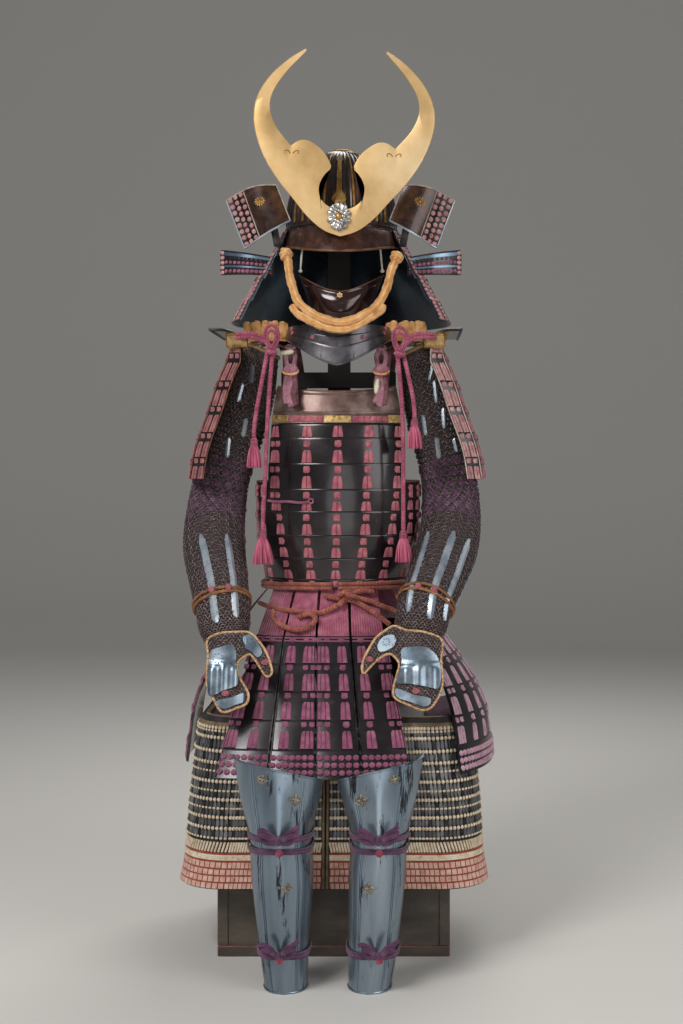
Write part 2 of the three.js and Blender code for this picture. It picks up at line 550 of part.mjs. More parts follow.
function handGuard(side) {
  const lean = side < 0 ? 28 : 0;
  const root = vec(side * (165 + lean), -250, 580);
  const tip = vec(side * (145 + lean), -286, 472);
  const back = (u, v) => {
    const p = root.clone().lerp(tip, v);
    const a = rad(mix(-72, 72, u));
    const half = mix(27, 35, Math.sin(Math.PI * Math.min(v + 0.2, 1) * 0.8));
    return p.add(vec(half * Math.sin(a), -20 * Math.cos(a), 0));
  };
  const thumbRoot = vec(side * (138 + lean), -260, 570);
  const thumbTip = vec(side * (60 + lean * 1.7), -296, 534);
  const thumb = (u, v) => {
    const p = thumbRoot.clone().lerp(thumbTip, v);
    const a = rad(mix(-70, 70, u));
    return p.add(vec(side * 4 * Math.sin(a), -10 * Math.cos(a), mix(15, 11, v) * Math.sin(a)));
  };
  const plate = wall({ point: back, us: steps(6), rows: plainRows(steps(3)), depth: PLATE, core: vec(side * 160, 0, 530) });
  const thumbPlate = wall({ point: thumb, us: steps(4), rows: plainRows([-0.12, 0.5, 1]), depth: PLATE, core: vec(side * 90, 0, 540) });
  place(side < 0 ? 'hand_guard_left' : 'hand_guard_right', join(plate, thumbPlate), 'steel');
}

// ---------------------------------------------------------------- waist cord and skirt
function waistCord() {
  const z = 674;
  const band = (angle, drop = 0) => {
    const p = cuirassPoint(angle, z);
    const n = vec(p.x, p.y, 0).normalize();
    p.addScaledVector(n, CORD.waist / 2 + CUIRASS.lip + 1.6);
    return [p.x, p.y, z + drop];
  };
  const ring = steps(40, 6, 346).map((angle) => band(angle, 2 * Math.cos(rad(angle))));
  const girdle = cord(ring, CORD.waist, { sides: 8, count: 34 });
  const knot = ball(17, 22, -146, 674, [1.3, 0.8, 0.9]);
  const loop = cord([[20, -148, 670.6], [-12, -164, 642], [-44, -170, 622], [-34, -172, 612], [4, -172, 622], [40, -164, 640],
    [74, -148, 650], [104, -124, 670.6]], CORD.waist, { sides: 8, count: 14 });
  place('waist_cord', join(girdle, knot, loop), 'waistCord');
}

function skirtPanel({ name, a, b, bow }) {
  const edge = (rows) => rows.map(([x, y, z], i) => ({ at: EDGE_AT[i], x, y, z }));
  const [left, right] = [edge(a), edge(b)];
  const pointOf = (rows, v) => vec(along(rows, v, 'x'), along(rows, v, 'y'), along(rows, v, 'z'));
  const point = (u, v) => {
    const [p, q] = [pointOf(left, v), pointOf(right, v)];
    const across = q.clone().sub(p);
    const out = vec(across.y, -across.x, 0).normalize();
    if (out.dot(p) < 0) out.negate();
    const swell = bow * 4 * u * (1 - u) * THREE.MathUtils.clamp(v + 0.34, 0, 1);
    return p.lerp(q, u).addScaledVector(out, swell);
  };
  const rows = [{ v: EDGE_AT[0], lift: 0.2 }, { v: -0.03, lift: 0.2 }, ...lameRows(steps(SKIRT_LAMES))];
  const us = steps(bow > 20 ? 6 : 3);
  place(name, wall({ point, us, rows, depth: PLATE, core: vec(0, 0, 600) }), 'lacquer');
}

// ---------------------------------------------------------------- thigh guards
// A level curve of the apron: along the front, round the corner and back along the side.
function thighPoint(side, u, v) {
  const [half, front, corner, z] = ['half', 'front', 'corner', 'z'].map((column) => along(THIGH, v, column));
  const inner = side > 0 ? THIGH_SPLIT + 4 : -THIGH_SPLIT;
  const bend = 0.42;
  const rear = 0.66;
  if (u < bend) return vec(side * mix(inner, half - corner, u / bend), -front, z);
  if (u > rear) return vec(side * half, mix(-front + corner, THIGH_END, (u - rear) / (1 - rear)), z);
  const a = ((u - bend) / (rear - bend)) * Math.PI / 2;
  return vec(side * (half - corner + corner * Math.sin(a)), -front + corner - corner * Math.cos(a), z);
}

function thighGuard(side) {
  const vs = [0, 0.06, 0.1, 0.14, 0.18, 0.25, 0.42, 0.6, 0.78, 0.9, 1];
  const us = [0, 0.21, 0.42, 0.48, 0.54, 0.6, 0.66, 0.83, 1];
  const lift = (v) => (v > 0.8 ? 2.2 : 0.6);
  const rows = vs.map((v) => ({ v, lift: lift(v) }));
  const apron = wall({ point: (u, v) => thighPoint(side, u, v), us, rows, depth: CLOTH, core: vec(side * 100, 0, 200) });
  place(side < 0 ? 'thigh_guard_left' : 'thigh_guard_right', apron, 'splintCloth');
}

// ---------------------------------------------------------------- shin guards
function shinPoint(shin, u, v) {
  const across = 2 * u - 1;
  const toOuter = across * shin.top.outer;
  const { outerZ, dipZ, innerZ } = shin.top;
  const topZ = toOuter > 0.3 ? mix(dipZ, outerZ, (toOuter - 0.3) / 0.7) : mix(dipZ, innerZ, (0.3 - toOuter) / 1.3);
  const z = mix(0, topZ, v);
  const [x, half, deep] = ['x', 'half', 'deep'].map((column) => along(shin.rows, z, column));
  const a = rad(across * 90);
  return vec(x + half * Math.sin(a), SHIN_Y - deep * Math.cos(a) ** 0.8, z);
}

function shinGuard(name, shin) {
  const point = (u, v) => shinPoint(shin, THREE.MathUtils.clamp(u, 0.001, 0.999), v);
  const rows = plainRows([0, 0.17, 0.34, 0.5, 0.62, 0.69, 0.75, 0.85, 1]);
  const guard = wall({ point, us: steps(10), rows, depth: PLATE, core: vec(shin.tieX, SHIN_Y, 200) });
  place(`shin_guard_${name}`, guard, 'steel');
}

// A ribbon round the shin guard, level by level, with a bow in front.
function shinTie(name, shin, z, high, label) {
  const [x, half, deep] = ['x', 'half', 'deep'].map((column) => along(shin.rows, z, column));
  const lift = PLATE + 1.6;
  const point = (u, v) => {
    const a = u * 2 * Math.PI;
    const [s, c] = [Math.sin(a), Math.cos(a)];
    const front = c > 0 ? (deep + lift) * c ** 0.8 : -26 * Math.abs(c) ** 0.6;
    return vec(x + (half + lift) * s, SHIN_Y - front, z + high * (0.5 - v));
  };
  const us = steps(20).slice(0, -1);
  const band = wall({ point, us, rows: plainRows([0, 1]), depth: 1.6, core: vec(x, SHIN_Y, z), ring: true });
  const y = SHIN_Y - deep - lift - 3;
  const knot = ball(8, shin.tieX, y - 1, z, [1.2, 0.8, 1], 6);
  const tails = [-1, 1].map((s) => ribbon([[shin.tieX, y - 1, z], [shin.tieX + s * 18, y - 8, z + 3], [shin.tieX + s * 36, y - 6, z + (s < 0 ? 14 : -8)]], 9, 1.6, vec(0, 0, 1), 2));
  place(`shin_tie_${name}_${label}`, join(band, knot, ...tails), 'tie');
}

// ---------------------------------------------------------------- shoulder cords
const HANGING = [ // each cord's route from its knot, and its tassel's width and length
  { name: 'left_long', tassel: 42, drop: 66, route: [[-118, -132, 1118], [-123, -140, 1050], [-127, -143, 983], [-131, -146, 880], [-135, -147, 800], [-135, -147, 784]] },
  { name: 'left_short', tassel: 30, drop: 58, route: [[-128, -132, 1119], [-138, -140, 1060], [-147, -142, 1010], [-152, -143, 970], [-152, -143, 957]] },
  { name: 'right_long', tassel: 34, drop: 62, route: [[117, -132, 1114], [123, -140, 1050], [127, -143, 983], [128, -146, 880], [128, -147, 800], [128, -147, 784]] },
  { name: 'right_short', tassel: 30, drop: 58, route: [[128, -132, 1114.8], [138, -139, 1070], [146, -142, 1032], [149, -143, 1004], [149, -143, 993]] },
];
const KNOT = { left: vec(-119, -134, 1136), right: vec(121, -134, 1132) };

function shoulderKnot(name, centre) {
  const side = Math.sign(centre.x);
  const loops = [-1, 1].map((s) => new THREE.TorusGeometry(11, CORD.shoulder / 2, 5, 8)
    .rotateX(Math.PI / 2).rotateZ(rad(-28 * s)).translate(centre.x + s * 13, centre.y, centre.z + 6));
  const heart = ball(12, centre.x, centre.y, centre.z - 4, [1.2, 0.8, 1.1], 6);
  const toGuard = cord([[centre.x + side * 10, centre.y, centre.z], [side * 152, -142, 1150], [side * 184, -126.8, 1150]], CORD.shoulder, { sides: 8, count: 5 });
  place(`shoulder_knot_${name}`, join(heart, ...loops, toGuard), 'silkCord');
}

function hangingCords() {
  for (const { name, route, tassel, drop } of HANGING) {
    place(`hanging_cord_${name}`, cord(route, CORD.shoulder, { sides: 8, count: Math.round((route[0][2] - route.at(-1)[2]) / 24) }), 'silkCord');
    const [x, y, z] = route.at(-1);
    const profile = [[0, -drop], [tassel * 0.5, -drop], [tassel * 0.38, -drop * 0.45], [6, -12], [8, -5], [5, 0], [0, 0]];
    const body = new THREE.LatheGeometry(profile.map(([r, h]) => new THREE.Vector2(r, h)), 8).rotateX(Math.PI / 2);
    place(`tassel_${name}`, body, 'silkCord').position.set(x, y, z - GAP);
  }
}

// ---------------------------------------------------------------- the whole armour
armourBox();
innerStand();
const helmet = subgroup(HELMET.x, HELMET.y, HELMET.z);
helmetBowl(helmet);
helmetVisor(helmet);
neckGuard(helmet);
turnback(-1, helmet);
turnback(1, helmet);
crestPlate();
helmetCord();
halfMask();
throatGuard();
cuirass();
for (const side of [-1, 1]) {
  shoulderStrap(side);
  shoulderGuard(side);
  sleeve(side);
  handGuard(side);
  thighGuard(side);
}
waistCord();
SKIRT_PANELS.forEach(skirtPanel);
for (const [name, shin] of Object.entries(SHINS)) {
  shinGuard(name, shin);
  shinTie(name, shin, 258, 16, 'upper');
  shinTie(name, shin, 68, 11, 'lower');
  shoulderKnot(name, KNOT[name]);
}
hangingCords();

export default armour;
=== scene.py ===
"""A samurai armour on its lacquered box: the looks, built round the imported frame, in metres."""
import math
import random

import bmesh
import bpy
import numpy as np
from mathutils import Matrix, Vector
from mathutils.geometry import delaunay_2d_cdt


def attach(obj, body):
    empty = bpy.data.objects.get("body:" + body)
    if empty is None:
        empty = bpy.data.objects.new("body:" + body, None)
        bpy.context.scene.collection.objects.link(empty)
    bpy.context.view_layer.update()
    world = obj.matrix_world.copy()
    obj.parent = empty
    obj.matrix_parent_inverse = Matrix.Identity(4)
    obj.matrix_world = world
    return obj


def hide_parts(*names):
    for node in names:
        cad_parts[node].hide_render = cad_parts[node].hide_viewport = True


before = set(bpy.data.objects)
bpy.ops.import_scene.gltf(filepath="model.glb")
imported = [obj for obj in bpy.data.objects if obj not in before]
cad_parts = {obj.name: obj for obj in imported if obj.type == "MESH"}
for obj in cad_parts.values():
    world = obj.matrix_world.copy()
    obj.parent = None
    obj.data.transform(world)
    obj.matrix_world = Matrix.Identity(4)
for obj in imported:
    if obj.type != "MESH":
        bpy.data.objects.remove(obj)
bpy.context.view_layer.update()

MM = 0.001


def table(columns, *rows):
    """Rows of numbers as a list of dicts."""
    return [dict(zip(columns.split(), row)) for row in rows]


# ------------------------------------------------------------------ driving sizes, in millimetres
SEAM = 0.3  # the gap between pieces that rest on each other
BOX = {"half_wide": 214, "half_deep": 200, "high": 398, "rail": 20, "wall": 14, "lid_top": 420}
HELMET = {"x": 7, "y": -10, "z": 1350, "half": 108, "deep": 122, "high": 164, "collar": 14}
CREST = {"x": 13, "y": -174, "z": 1400, "tilt": -2, "thick": 2.4}
FRONT_ANGLE = 54
ARMHOLE_Z = 872
CUIRASS_PLAN = table("at a b", (671, 138, 127), (700, 143, 129), (770, 156, 135), (860, 158, 136),
                     (930, 155, 130), (983, 150, 119), (1055, 146, 101))
LAME_LINES = [983, 957, 908.5, 860, 818, 773, 730, 689.5, 671]
COLLAR_Z, HEM_Z = LAME_LINES[0], LAME_LINES[-1]
CUIRASS_POWER = 0.93  # a plain ellipse would be 1
# A lame's wall, how far its upper and its lower edge stand out, and how high the upper one is.
PLATE, LIP, EDGE, RIM = 2.6, 2.4, 0.3, 2.6
SLEEVE = table("x y z r lean", (150, 6, 1132, 34, 0), (160, 5, 1108, 40, 0), (174, 2, 1050, 48, 0),
               (192, -2, 980, 52, 3), (215, -8, 890, 52, 10), (221, -24, 812, 55, 16),
               (212, -80, 748, 57, 22), (188, -160, 688, 52, 28), (168, -206, 645, 48, 36),
               (160, -222, 606, 44, 38), (157, -234, 574, 29, 34))
EDGE_AT = [-0.34, 0, 0.5, 1]  # the v of an edge's four places, from the waist down to the hem
# Each skirt panel's two edges, and its lacing columns: where they stand at the top and the hem and
# how many braids wide they are.
SKIRT = {
    "skirt_front_1": {"bow": 3, "cols": [(0.1, 0.12, 3), (0.62, 0.62, 2)],
                      "a": [(-120, -66, 670.6), (-145, -150, 587), (-176, -236, 470), (-205, -318, 353)],
                      "b": [(-80, -103, 670.6), (-95, -166, 587), (-104, -250, 470), (-114, -330, 353)]},
    "skirt_front_2": {"bow": 3, "cols": [(0.27, 0.28, 2), (0.84, 0.84, 3)],
                      "a": [(-74, -106, 670.6), (-92, -167, 587), (-101, -251, 470), (-110, -331, 353)],
                      "b": [(-33, -122, 670.6), (-35, -172, 587), (-32, -254, 470), (-29, -334, 353)]},
    "skirt_front_3": {"bow": 3, "cols": [(0.17, 0.17, 3), (0.74, 0.74, 2)],
                      "a": [(-27, -123, 670.6), (-31, -172, 587), (-28, -254, 470), (-25, -334, 353)],
                      "b": [(22, -124, 670.6), (28, -172, 587), (41, -254, 470), (54, -333, 353)]},
    "skirt_front_4": {"bow": 3, "cols": [(0.26, 0.26, 2), (0.87, 0.87, 3)],
                      "a": [(29, -123, 670.6), (32, -171, 587), (45, -253, 470), (58, -333, 353)],
                      "b": [(78, -104, 670.6), (92, -163, 587), (117, -244, 470), (142, -322, 353)]},
    "skirt_right": {"bow": 34, "cols": [(0.06, 0.05, 3), (0.24, 0.22, 2), (0.42, 0.4, 2), (0.6, 0.6, 2),
                                        (0.78, 0.78, 2), (0.94, 0.95, 3)],
                    "a": [(104, -82, 670.6), (158, -134, 590), (212, -204, 470), (233, -250, 345)],
                    "b": [(135, 20, 670.6), (192, 30, 595), (270, 36, 470), (288, 44, 345)]},
    "skirt_left": {"bow": 8, "cols": [(0.07, 0.06, 3), (0.35, 0.35, 2), (0.65, 0.65, 2), (0.93, 0.94, 3)],
                   "a": [(-131, -38, 670.6), (-190, -62, 598), (-262, -88, 470), (-283, -98, 340)],
                   "b": [(-132, 42, 670.6), (-188, 64, 598), (-266, 86, 470), (-285, 96, 340)]},
    "skirt_back_1": {"bow": 6, "cols": [(0.1, 0.08, 3), (0.5, 0.5, 2), (0.9, 0.92, 3)],
                     "a": [(-104, 84, 670.6), (-124, 140, 590), (-150, 206, 470), (-172, 240, 345)],
                     "b": [(-6, 126, 670.6), (-5, 168, 590), (-4, 216, 470), (-3, 248, 345)]},
}
REAR = SKIRT["skirt_back_1"]
SKIRT["skirt_back_2"] = {**REAR, "a": [(-x, y, z) for x, y, z in REAR["b"]],
                         "b": [(-x, y, z) for x, y, z in REAR["a"]]}
THIGH = table("at half front corner z", (0, 168, 132, 50, 424), (0.1, 214, 186, 60, 428),
              (0.18, 244, 214, 70, 444), (0.25, 252, 226, 84, 424), (0.6, 267, 240, 84, 296),
              (0.86, 275, 252, 88, 190), (1, 284, 262, 92, 140))
THIGH_SPLIT, THIGH_END = -15, 150
THIGH_BEND, THIGH_REAR = 0.42, 0.66  # the u at which a guard starts and ends its turn round the corner
SHIN_Y = -356
SHINS = {
    "left": {"outer": -1, "outerZ": 402, "dipZ": 391, "innerZ": 357, "tieX": -84,
             "rows": table("at x half deep", (0, -75.5, 37.5, 54), (70, -79, 43, 58), (195, -82, 54.5, 66),
                           (262, -85, 54, 64), (330, -86, 70, 58), (402, -86, 82, 50))},
    "right": {"outer": 1, "outerZ": 402, "dipZ": 391, "innerZ": 355, "tieX": 86,
              "rows": table("at x half deep", (0, 70, 37.5, 54), (70, 76, 43, 58), (205, 84, 50, 66),
                            (262, 86.5, 48.5, 64), (330, 86, 66, 58), (402, 84, 80, 50))},
}
NECK = {"lames": 4, "top": 6, "low": -170, "topHalf": 112, "lowHalf": 202, "topBack": 126, "lowBack": 206,
        "reach": 118, "overlap": 6}
GUARD_FALL = table("at x z", (0, 240, 1162), (0.06, 216, 1160), (0.12, 199, 1146), (0.18, 206, 1124),
                   (0.36, 232, 1064), (0.56, 252, 1004), (0.78, 276, 936), (1, 287, 878))
GUARD_BRACKET = {"x": 186, "z": 1140, "half": 21, "tall": 15}
GUARD_FRONT, GUARD_BACK, GUARD_CURL, GUARD_EDGE, GUARD_TURN = -122, 140, 16, 22, 0.06
# The steel splints of the sleeves, each from and to a place across and up on the arm's front.
UPPER_SPLINTS = {
    "left": [(-165, 1098, -167, 1063), (-184, 1063, -193, 1026), (-176, 995, -183, 959),
             (-208, 957, -212, 918)],
    "right": [(188, 1069, 192, 1024), (186, 1104, 178, 1066), (166, 1001, 171, 962), (204, 1015, 208, 976),
              (192, 957, 197, 918), (226, 957, 231, 930)],
}
FOREARM_SPLINTS = {
    "left": [(-254, 773, -208, 621), (-206, 772, -174, 630)],
    "right": [(175, 777, 137, 639), (224, 777, 176, 628), (252, 764, 202, 623)],
}
# Each hand guard laid flat: millimetres inwards and down from the wrist, which is `wrist` from the middle.
HANDS = {
    "left": {
        "wrist": 193, "middle": 0, "half": 36, "knots": [(5, 92), (76, 38)],
        "flowers": [((-10, 32), 8, 9), ((47, 3), 5, 7)],
        "mitten": [(-31, 0), (-29, 26), (-30, 55), (-29, 79), (-16, 102), (0, 123), (25, 117), (42, 110),
                   (45, 94),
                   (36, 78), (27, 62), (24, 42), (34, 30), (46, 25), (56, 34), (66, 48), (79, 62), (87, 56),
                   (83, 36),
                   (72, 14), (60, 0), (45, -12), (20, -14), (-10, -12)],
        "hand": [(-24, 20), (-6, 12), (15, 8), (21, 22), (21, 42), (25, 62), (24, 78), (4, 86), (-10, 93),
                 (-22, 97),
                 (-27, 76), (-26, 48)],
        "strip": [(-11, 106), (14, 99), (38, 93), (38, 106), (22, 112), (1, 118)],
        "thumb": [(32, -5), (50, -8), (63, 7), (70, 22), (62, 30), (50, 20), (38, 14)]},
    "right": {
        "wrist": 167, "middle": 10, "half": 44, "knots": [(16, 88), (100, 33)],
        "flowers": [((4, 34), 9, 10), ((70, 4), 6, 8)],
        "mitten": [(-30, 0), (-29, 36), (-31, 60), (-31, 79), (-22, 102), (-9, 117), (5, 120), (30, 111),
                   (53, 101),
                   (57, 90), (54, 75), (50, 60), (46, 42), (54, 30), (64, 24), (84, 33), (100, 48), (110, 57),
                   (111, 38), (100, 14), (88, -4), (72, -16), (56, -24), (36, -18), (0, -14)],
        "hand": [(41, 16), (18, 11), (-4, 13), (-22, 30), (-28, 62), (-22, 84), (0, 80), (24, 76), (50, 74),
                 (46, 58),
                 (41, 40)],
        "strip": [(52, 85), (20, 94), (-10, 102), (-4, 114), (24, 107), (50, 98)],
        "thumb": [(58, -8), (50, 2), (62, 15), (82, 20), (86, 10), (76, -5)]},
}
HANGING = {
    "left_long": {"tassel": 42, "drop": 66, "route": [
        (-118, -132, 1118), (-123, -140, 1050), (-127, -143, 983), (-131, -146, 880), (-135, -147, 800),
        (-135, -147, 784)]},
    "left_short": {"tassel": 30, "drop": 58, "route": [
        (-128, -132, 1119), (-138, -140, 1060), (-147, -142, 1010), (-152, -143, 970), (-152, -143, 957)]},
    "right_long": {"tassel": 34, "drop": 62, "route": [
        (117, -132, 1114), (123, -140, 1050), (127, -143, 983), (128, -146, 880), (128, -147, 800),
        (128, -147, 784)]},
    "right_short": {"tassel": 30, "drop": 58, "route": [
        (128, -132, 1114.8), (138, -139, 1070), (146, -142, 1032), (149, -143, 1004), (149, -143, 993)]},
}
KNOT = {"left": (-119, -134, 1136), "right": (121, -134, 1132)}
SHOULDER_CORD = 8  # its thickness


# ------------------------------------------------------------------ numbers
def along(rows, at, column):
    """One column of a table at `at`, on a smooth curve through its rows."""
    xs = np.array([row["at"] for row in rows], float)
    ys = np.array([row[column] for row in rows], float)
    at = np.asarray(at, float)
    slopes = np.empty(len(xs))
    slopes[1:-1] = (ys[2:] - ys[:-2]) / (xs[2:] - xs[:-2])
    slopes[0] = (ys[1] - ys[0]) / (xs[1] - xs[0])
    slopes[-1] = (ys[-1] - ys[-2]) / (xs[-1] - xs[-2])
    i = np.clip(np.searchsorted(xs, at, side="left"), 1, len(xs) - 1)
    span = xs[i] - xs[i - 1]
    t = np.clip((at - xs[i - 1]) / span, 0, 1)
    return ((2 * t**3 - 3 * t**2 + 1) * ys[i - 1] + (t**3 - 2 * t**2 + t) * slopes[i - 1] * span
            + (3 * t**2 - 2 * t**3) * ys[i] + (t**3 - t**2) * slopes[i] * span)


def mix(a, b, t):
    return a + (b - a) * t


def dense_path(points):
    """A smooth curve through the points, and the point number reached at each step of it."""
    p = np.array(points, float)
    p = np.vstack([2 * p[0] - p[1], p, 2 * p[-1] - p[-2]])
    dense, number = [], []
    for i in range(1, len(p) - 2):
        p0, p1, p2, p3 = p[i - 1:i + 3]
        k = [0.0]
        for a, b in ((p0, p1), (p1, p2), (p2, p3)):
            k.append(k[-1] + max(np.linalg.norm(b - a), 1e-9) ** 0.5)
        for t in np.linspace(k[1], k[2], 24, endpoint=False):
            a1 = (k[1] - t) / (k[1] - k[0]) * p0 + (t - k[0]) / (k[1] - k[0]) * p1
            a2 = (k[2] - t) / (k[2] - k[1]) * p1 + (t - k[1]) / (k[2] - k[1]) * p2
            a3 = (k[3] - t) / (k[3] - k[2]) * p2 + (t - k[2]) / (k[3] - k[2]) * p3
            b1 = (k[2] - t) / (k[2] - k[0]) * a1 + (t - k[0]) / (k[2] - k[0]) * a2
            b2 = (k[3] - t) / (k[3] - k[1]) * a2 + (t - k[1]) / (k[3] - k[1]) * a3
            dense.append((k[2] - t) / (k[2] - k[1]) * b1 + (t - k[1]) / (k[2] - k[1]) * b2)
            number.append(i - 1 + (t - k[1]) / (k[2] - k[1]))
    return np.array(dense + [p[-2]]), np.array(number + [len(p) - 3])


def run_of(path):
    """How far along a path each of its points lies."""
    return np.concatenate([[0], np.cumsum(np.linalg.norm(np.diff(path, axis=0), axis=1))])


def at_run(path, run, at):
    """The places on a path at the given distances along it."""
    return np.stack([np.interp(at, run, column) for column in path.T], axis=1)


def smooth_path(points, count):
    """Points at even steps along a smooth curve through the given ones."""
    dense, _ = dense_path(points)
    run = run_of(dense)
    return at_run(dense, run, np.linspace(0, run[-1], count))


def side_name(side):
    return "left" if side < 0 else "right"


def length_of(path):
    return float(np.linalg.norm(np.diff(path, axis=0), axis=1).sum())


def angles(count, shift=0.0):
    """Even steps round a circle."""
    return (np.arange(count) + shift) / count * 2 * math.pi


def evenly(count, start=0.0, stop=1.0):
    return np.linspace(start, stop, count + 1)


def xyz(x, y, z):
    return np.stack(np.broadcast_arrays(*(np.asarray(k, float) for k in (x, y, z))), axis=-1)


def unit(v):
    v = np.asarray(v, float)
    return v / np.maximum(np.linalg.norm(v, axis=-1, keepdims=True), 1e-12)


def frames(path, closed=False):
    """Tangent and two sideways directions along a path, turned as little as possible."""
    path = np.asarray(path, float)
    if closed:
        tangent = unit(np.roll(path, -1, axis=0) - np.roll(path, 1, axis=0))
    else:
        tangent = unit(np.gradient(path, axis=0))
    start = np.array([0, 0, 1.0]) if abs(tangent[0][2]) < 0.9 else np.array([0, 1.0, 0])
    side = unit(np.cross(tangent[0], start))
    sides = []
    for t in tangent:
        side = unit(side - np.dot(side, t) * t)
        sides.append(side)
    sides = np.array(sides)
    return tangent, sides, np.cross(tangent, sides)


# ------------------------------------------------------------------ mesh making
class Shape:
    """Faces gathered patch by patch, in millimetres, and made into one object in metres."""

    def __init__(self):
        self.points, self.faces, self.uvs, self.slots, self.count = [], [], [], [], 0

    def add(self, points, faces, uvs, slot=0):
        points = np.asarray(points, float).reshape(-1, 3)
        faces = np.asarray(faces, int)
        self.points.append(points)
        self.faces.append(faces + self.count)
        self.uvs.append(np.asarray(uvs, float).reshape(-1, 2)[faces.reshape(-1)])
        self.slots.append(np.full(len(faces), slot))
        self.count += len(points)

    def grid(self, points, ring=False, slot=0, uv=None, flip=False):
        """A sheet of quads over rows and columns of points."""
        points = np.asarray(points, float)
        rows, cols = points.shape[:2]
        if uv is None:
            lu = run_of(points[rows // 2])
            lv = run_of(points[:, cols // 2])
            uv = np.stack(np.meshgrid(lu * MM, lv * MM), axis=-1)
        if ring:
            points = np.concatenate([points, points[:, :1]], axis=1)
            last = uv[:, -1:] * 2 - uv[:, -2:-1]
            uv = np.concatenate([uv, last], axis=1)
            cols += 1
        r, c = np.meshgrid(np.arange(rows - 1), np.arange(cols - 1), indexing="ij")
        a = (r * cols + c).ravel()
        quads = np.stack([a, a + 1, a + cols + 1, a + cols], axis=1)
        if flip:
            quads = quads[:, ::-1]
        self.add(points, quads, uv, slot)

    def shell(self, outer, inner, ring=False, slot=0, inner_slot=None):
        """A closed wall between two sheets of points, the outer one turned outwards."""
        outer, inner = np.asarray(outer, float), np.asarray(inner, float)
        inner_slot = slot if inner_slot is None else inner_slot
        mid = (outer.shape[0] // 2, outer.shape[1] // 2)
        r1, c1 = min(mid[0] + 1, outer.shape[0] - 1), min(mid[1] + 1, outer.shape[1] - 1)
        n = np.cross(outer[mid[0], c1] - outer[mid[0], c1 - 1], outer[r1, mid[1]] - outer[r1 - 1, mid[1]])
        flip = np.dot(n, outer[mid] - inner[mid]) < 0
        self.grid(outer, ring, slot, flip=flip)
        self.grid(inner, ring, inner_slot, flip=not flip)
        for line, turn in ((0, False), (-1, True)):
            self.grid(np.stack([outer[line], inner[line]]), ring, slot, flip=(turn == flip))
        if not ring:
            for line, turn in ((0, True), (-1, False)):
                self.grid(np.stack([outer[:, line], inner[:, line]]), False, slot, flip=(turn == flip))

    def tube(self, path, radius, sides=8, slot=0, closed=False, flat=1.0, up=None):
        """A round cord along a path. `flat` squeezes its section, `up` is the way it is thin."""
        path = np.asarray(path, float)
        tangent, side, over = frames(path, closed)
        if up is not None:
            up = np.asarray(up, float)
            over = unit(up - (up * tangent).sum(-1, keepdims=True) * tangent)
            side = np.cross(over, tangent)
        radius = np.broadcast_to(np.asarray(radius, float), (len(path),))[:, None, None]
        a = angles(sides)
        ring = path[:, None] + radius * (np.cos(a)[None, :, None] * side[:, None]
                                         + flat * np.sin(a)[None, :, None] * over[:, None])
        run = run_of(path) * MM
        uv = np.stack(np.meshgrid(np.arange(sides) / sides, run), axis=-1)
        if closed:
            gap = np.linalg.norm(path[0] - path[-1]) * MM
            ring = np.concatenate([ring, ring[:1]])
            uv = np.concatenate([uv, uv[-1:] + [0, gap]])
        self.grid(ring, True, slot, uv)
        if not closed:
            for end, turn in ((0, False), (-1, True)):
                tip = path[end] + tangent[end] * (radius[end, 0, 0] * 0.3 * (1 if turn else -1))
                points = np.vstack([ring[end], tip])
                k = np.arange(sides)
                faces = np.stack([k, (k + 1) % sides, np.full(sides, sides)], axis=1)
                if not turn:
                    faces = faces[:, ::-1]
                self.add3(points, faces, slot)

    def add3(self, points, triangles, slot=0):
        """Triangles, kept as quads with a doubled corner until the mesh is made."""
        triangles = np.asarray(triangles, int)
        quads = np.concatenate([triangles, triangles[:, 2:]], axis=1)
        self.add(points, quads, np.zeros((len(points), 2)), slot)

    def ball(self, centre, radii, slot=0, turns=10, rings=7, axes=None):
        """A round lump with three radii, along the given axes."""
        axes = np.eye(3) if axes is None else np.asarray(axes, float)
        a = angles(turns)
        b = np.linspace(-math.pi / 2 + 0.12, math.pi / 2 - 0.12, rings)
        local = np.stack([np.cos(b)[:, None] * np.cos(a), np.cos(b)[:, None] * np.sin(a),
                          np.sin(b)[:, None] * np.ones(turns)], axis=-1) * np.asarray(radii, float)
        points = np.asarray(centre, float) + local @ axes
        self.grid(points, True, slot, flip=False)
        for end, turn in ((0, False), (-1, True)):
            tip = points[end].mean(axis=0)
            ring = np.vstack([points[end], tip])
            k = np.arange(turns)
            faces = np.stack([k, (k + 1) % turns, np.full(turns, turns)], axis=1)
            self.add3(ring, faces if turn else faces[:, ::-1], slot)

    def petal(self, centre, radii, slot, out, n):
        """A lump that lies along `out` on a face whose normal is `n`."""
        self.ball(centre, radii, slot, 8, 5, np.stack([out, np.cross(n, out), n]))

    def torus(self, centre, radius, thick, axis, slot=0, turns=16, sides=6, stretch=1.0):
        axis = unit(axis)
        first = unit(np.cross(axis, [0, 0, 1.0] if abs(axis[2]) < 0.9 else [1.0, 0, 0]))
        second = np.cross(axis, first)
        a = angles(turns)
        across, over = np.cos(a)[:, None] * first * stretch, np.sin(a)[:, None] * second
        path = np.asarray(centre, float) + radius * (across + over)
        self.tube(path, thick, sides, slot, closed=True)

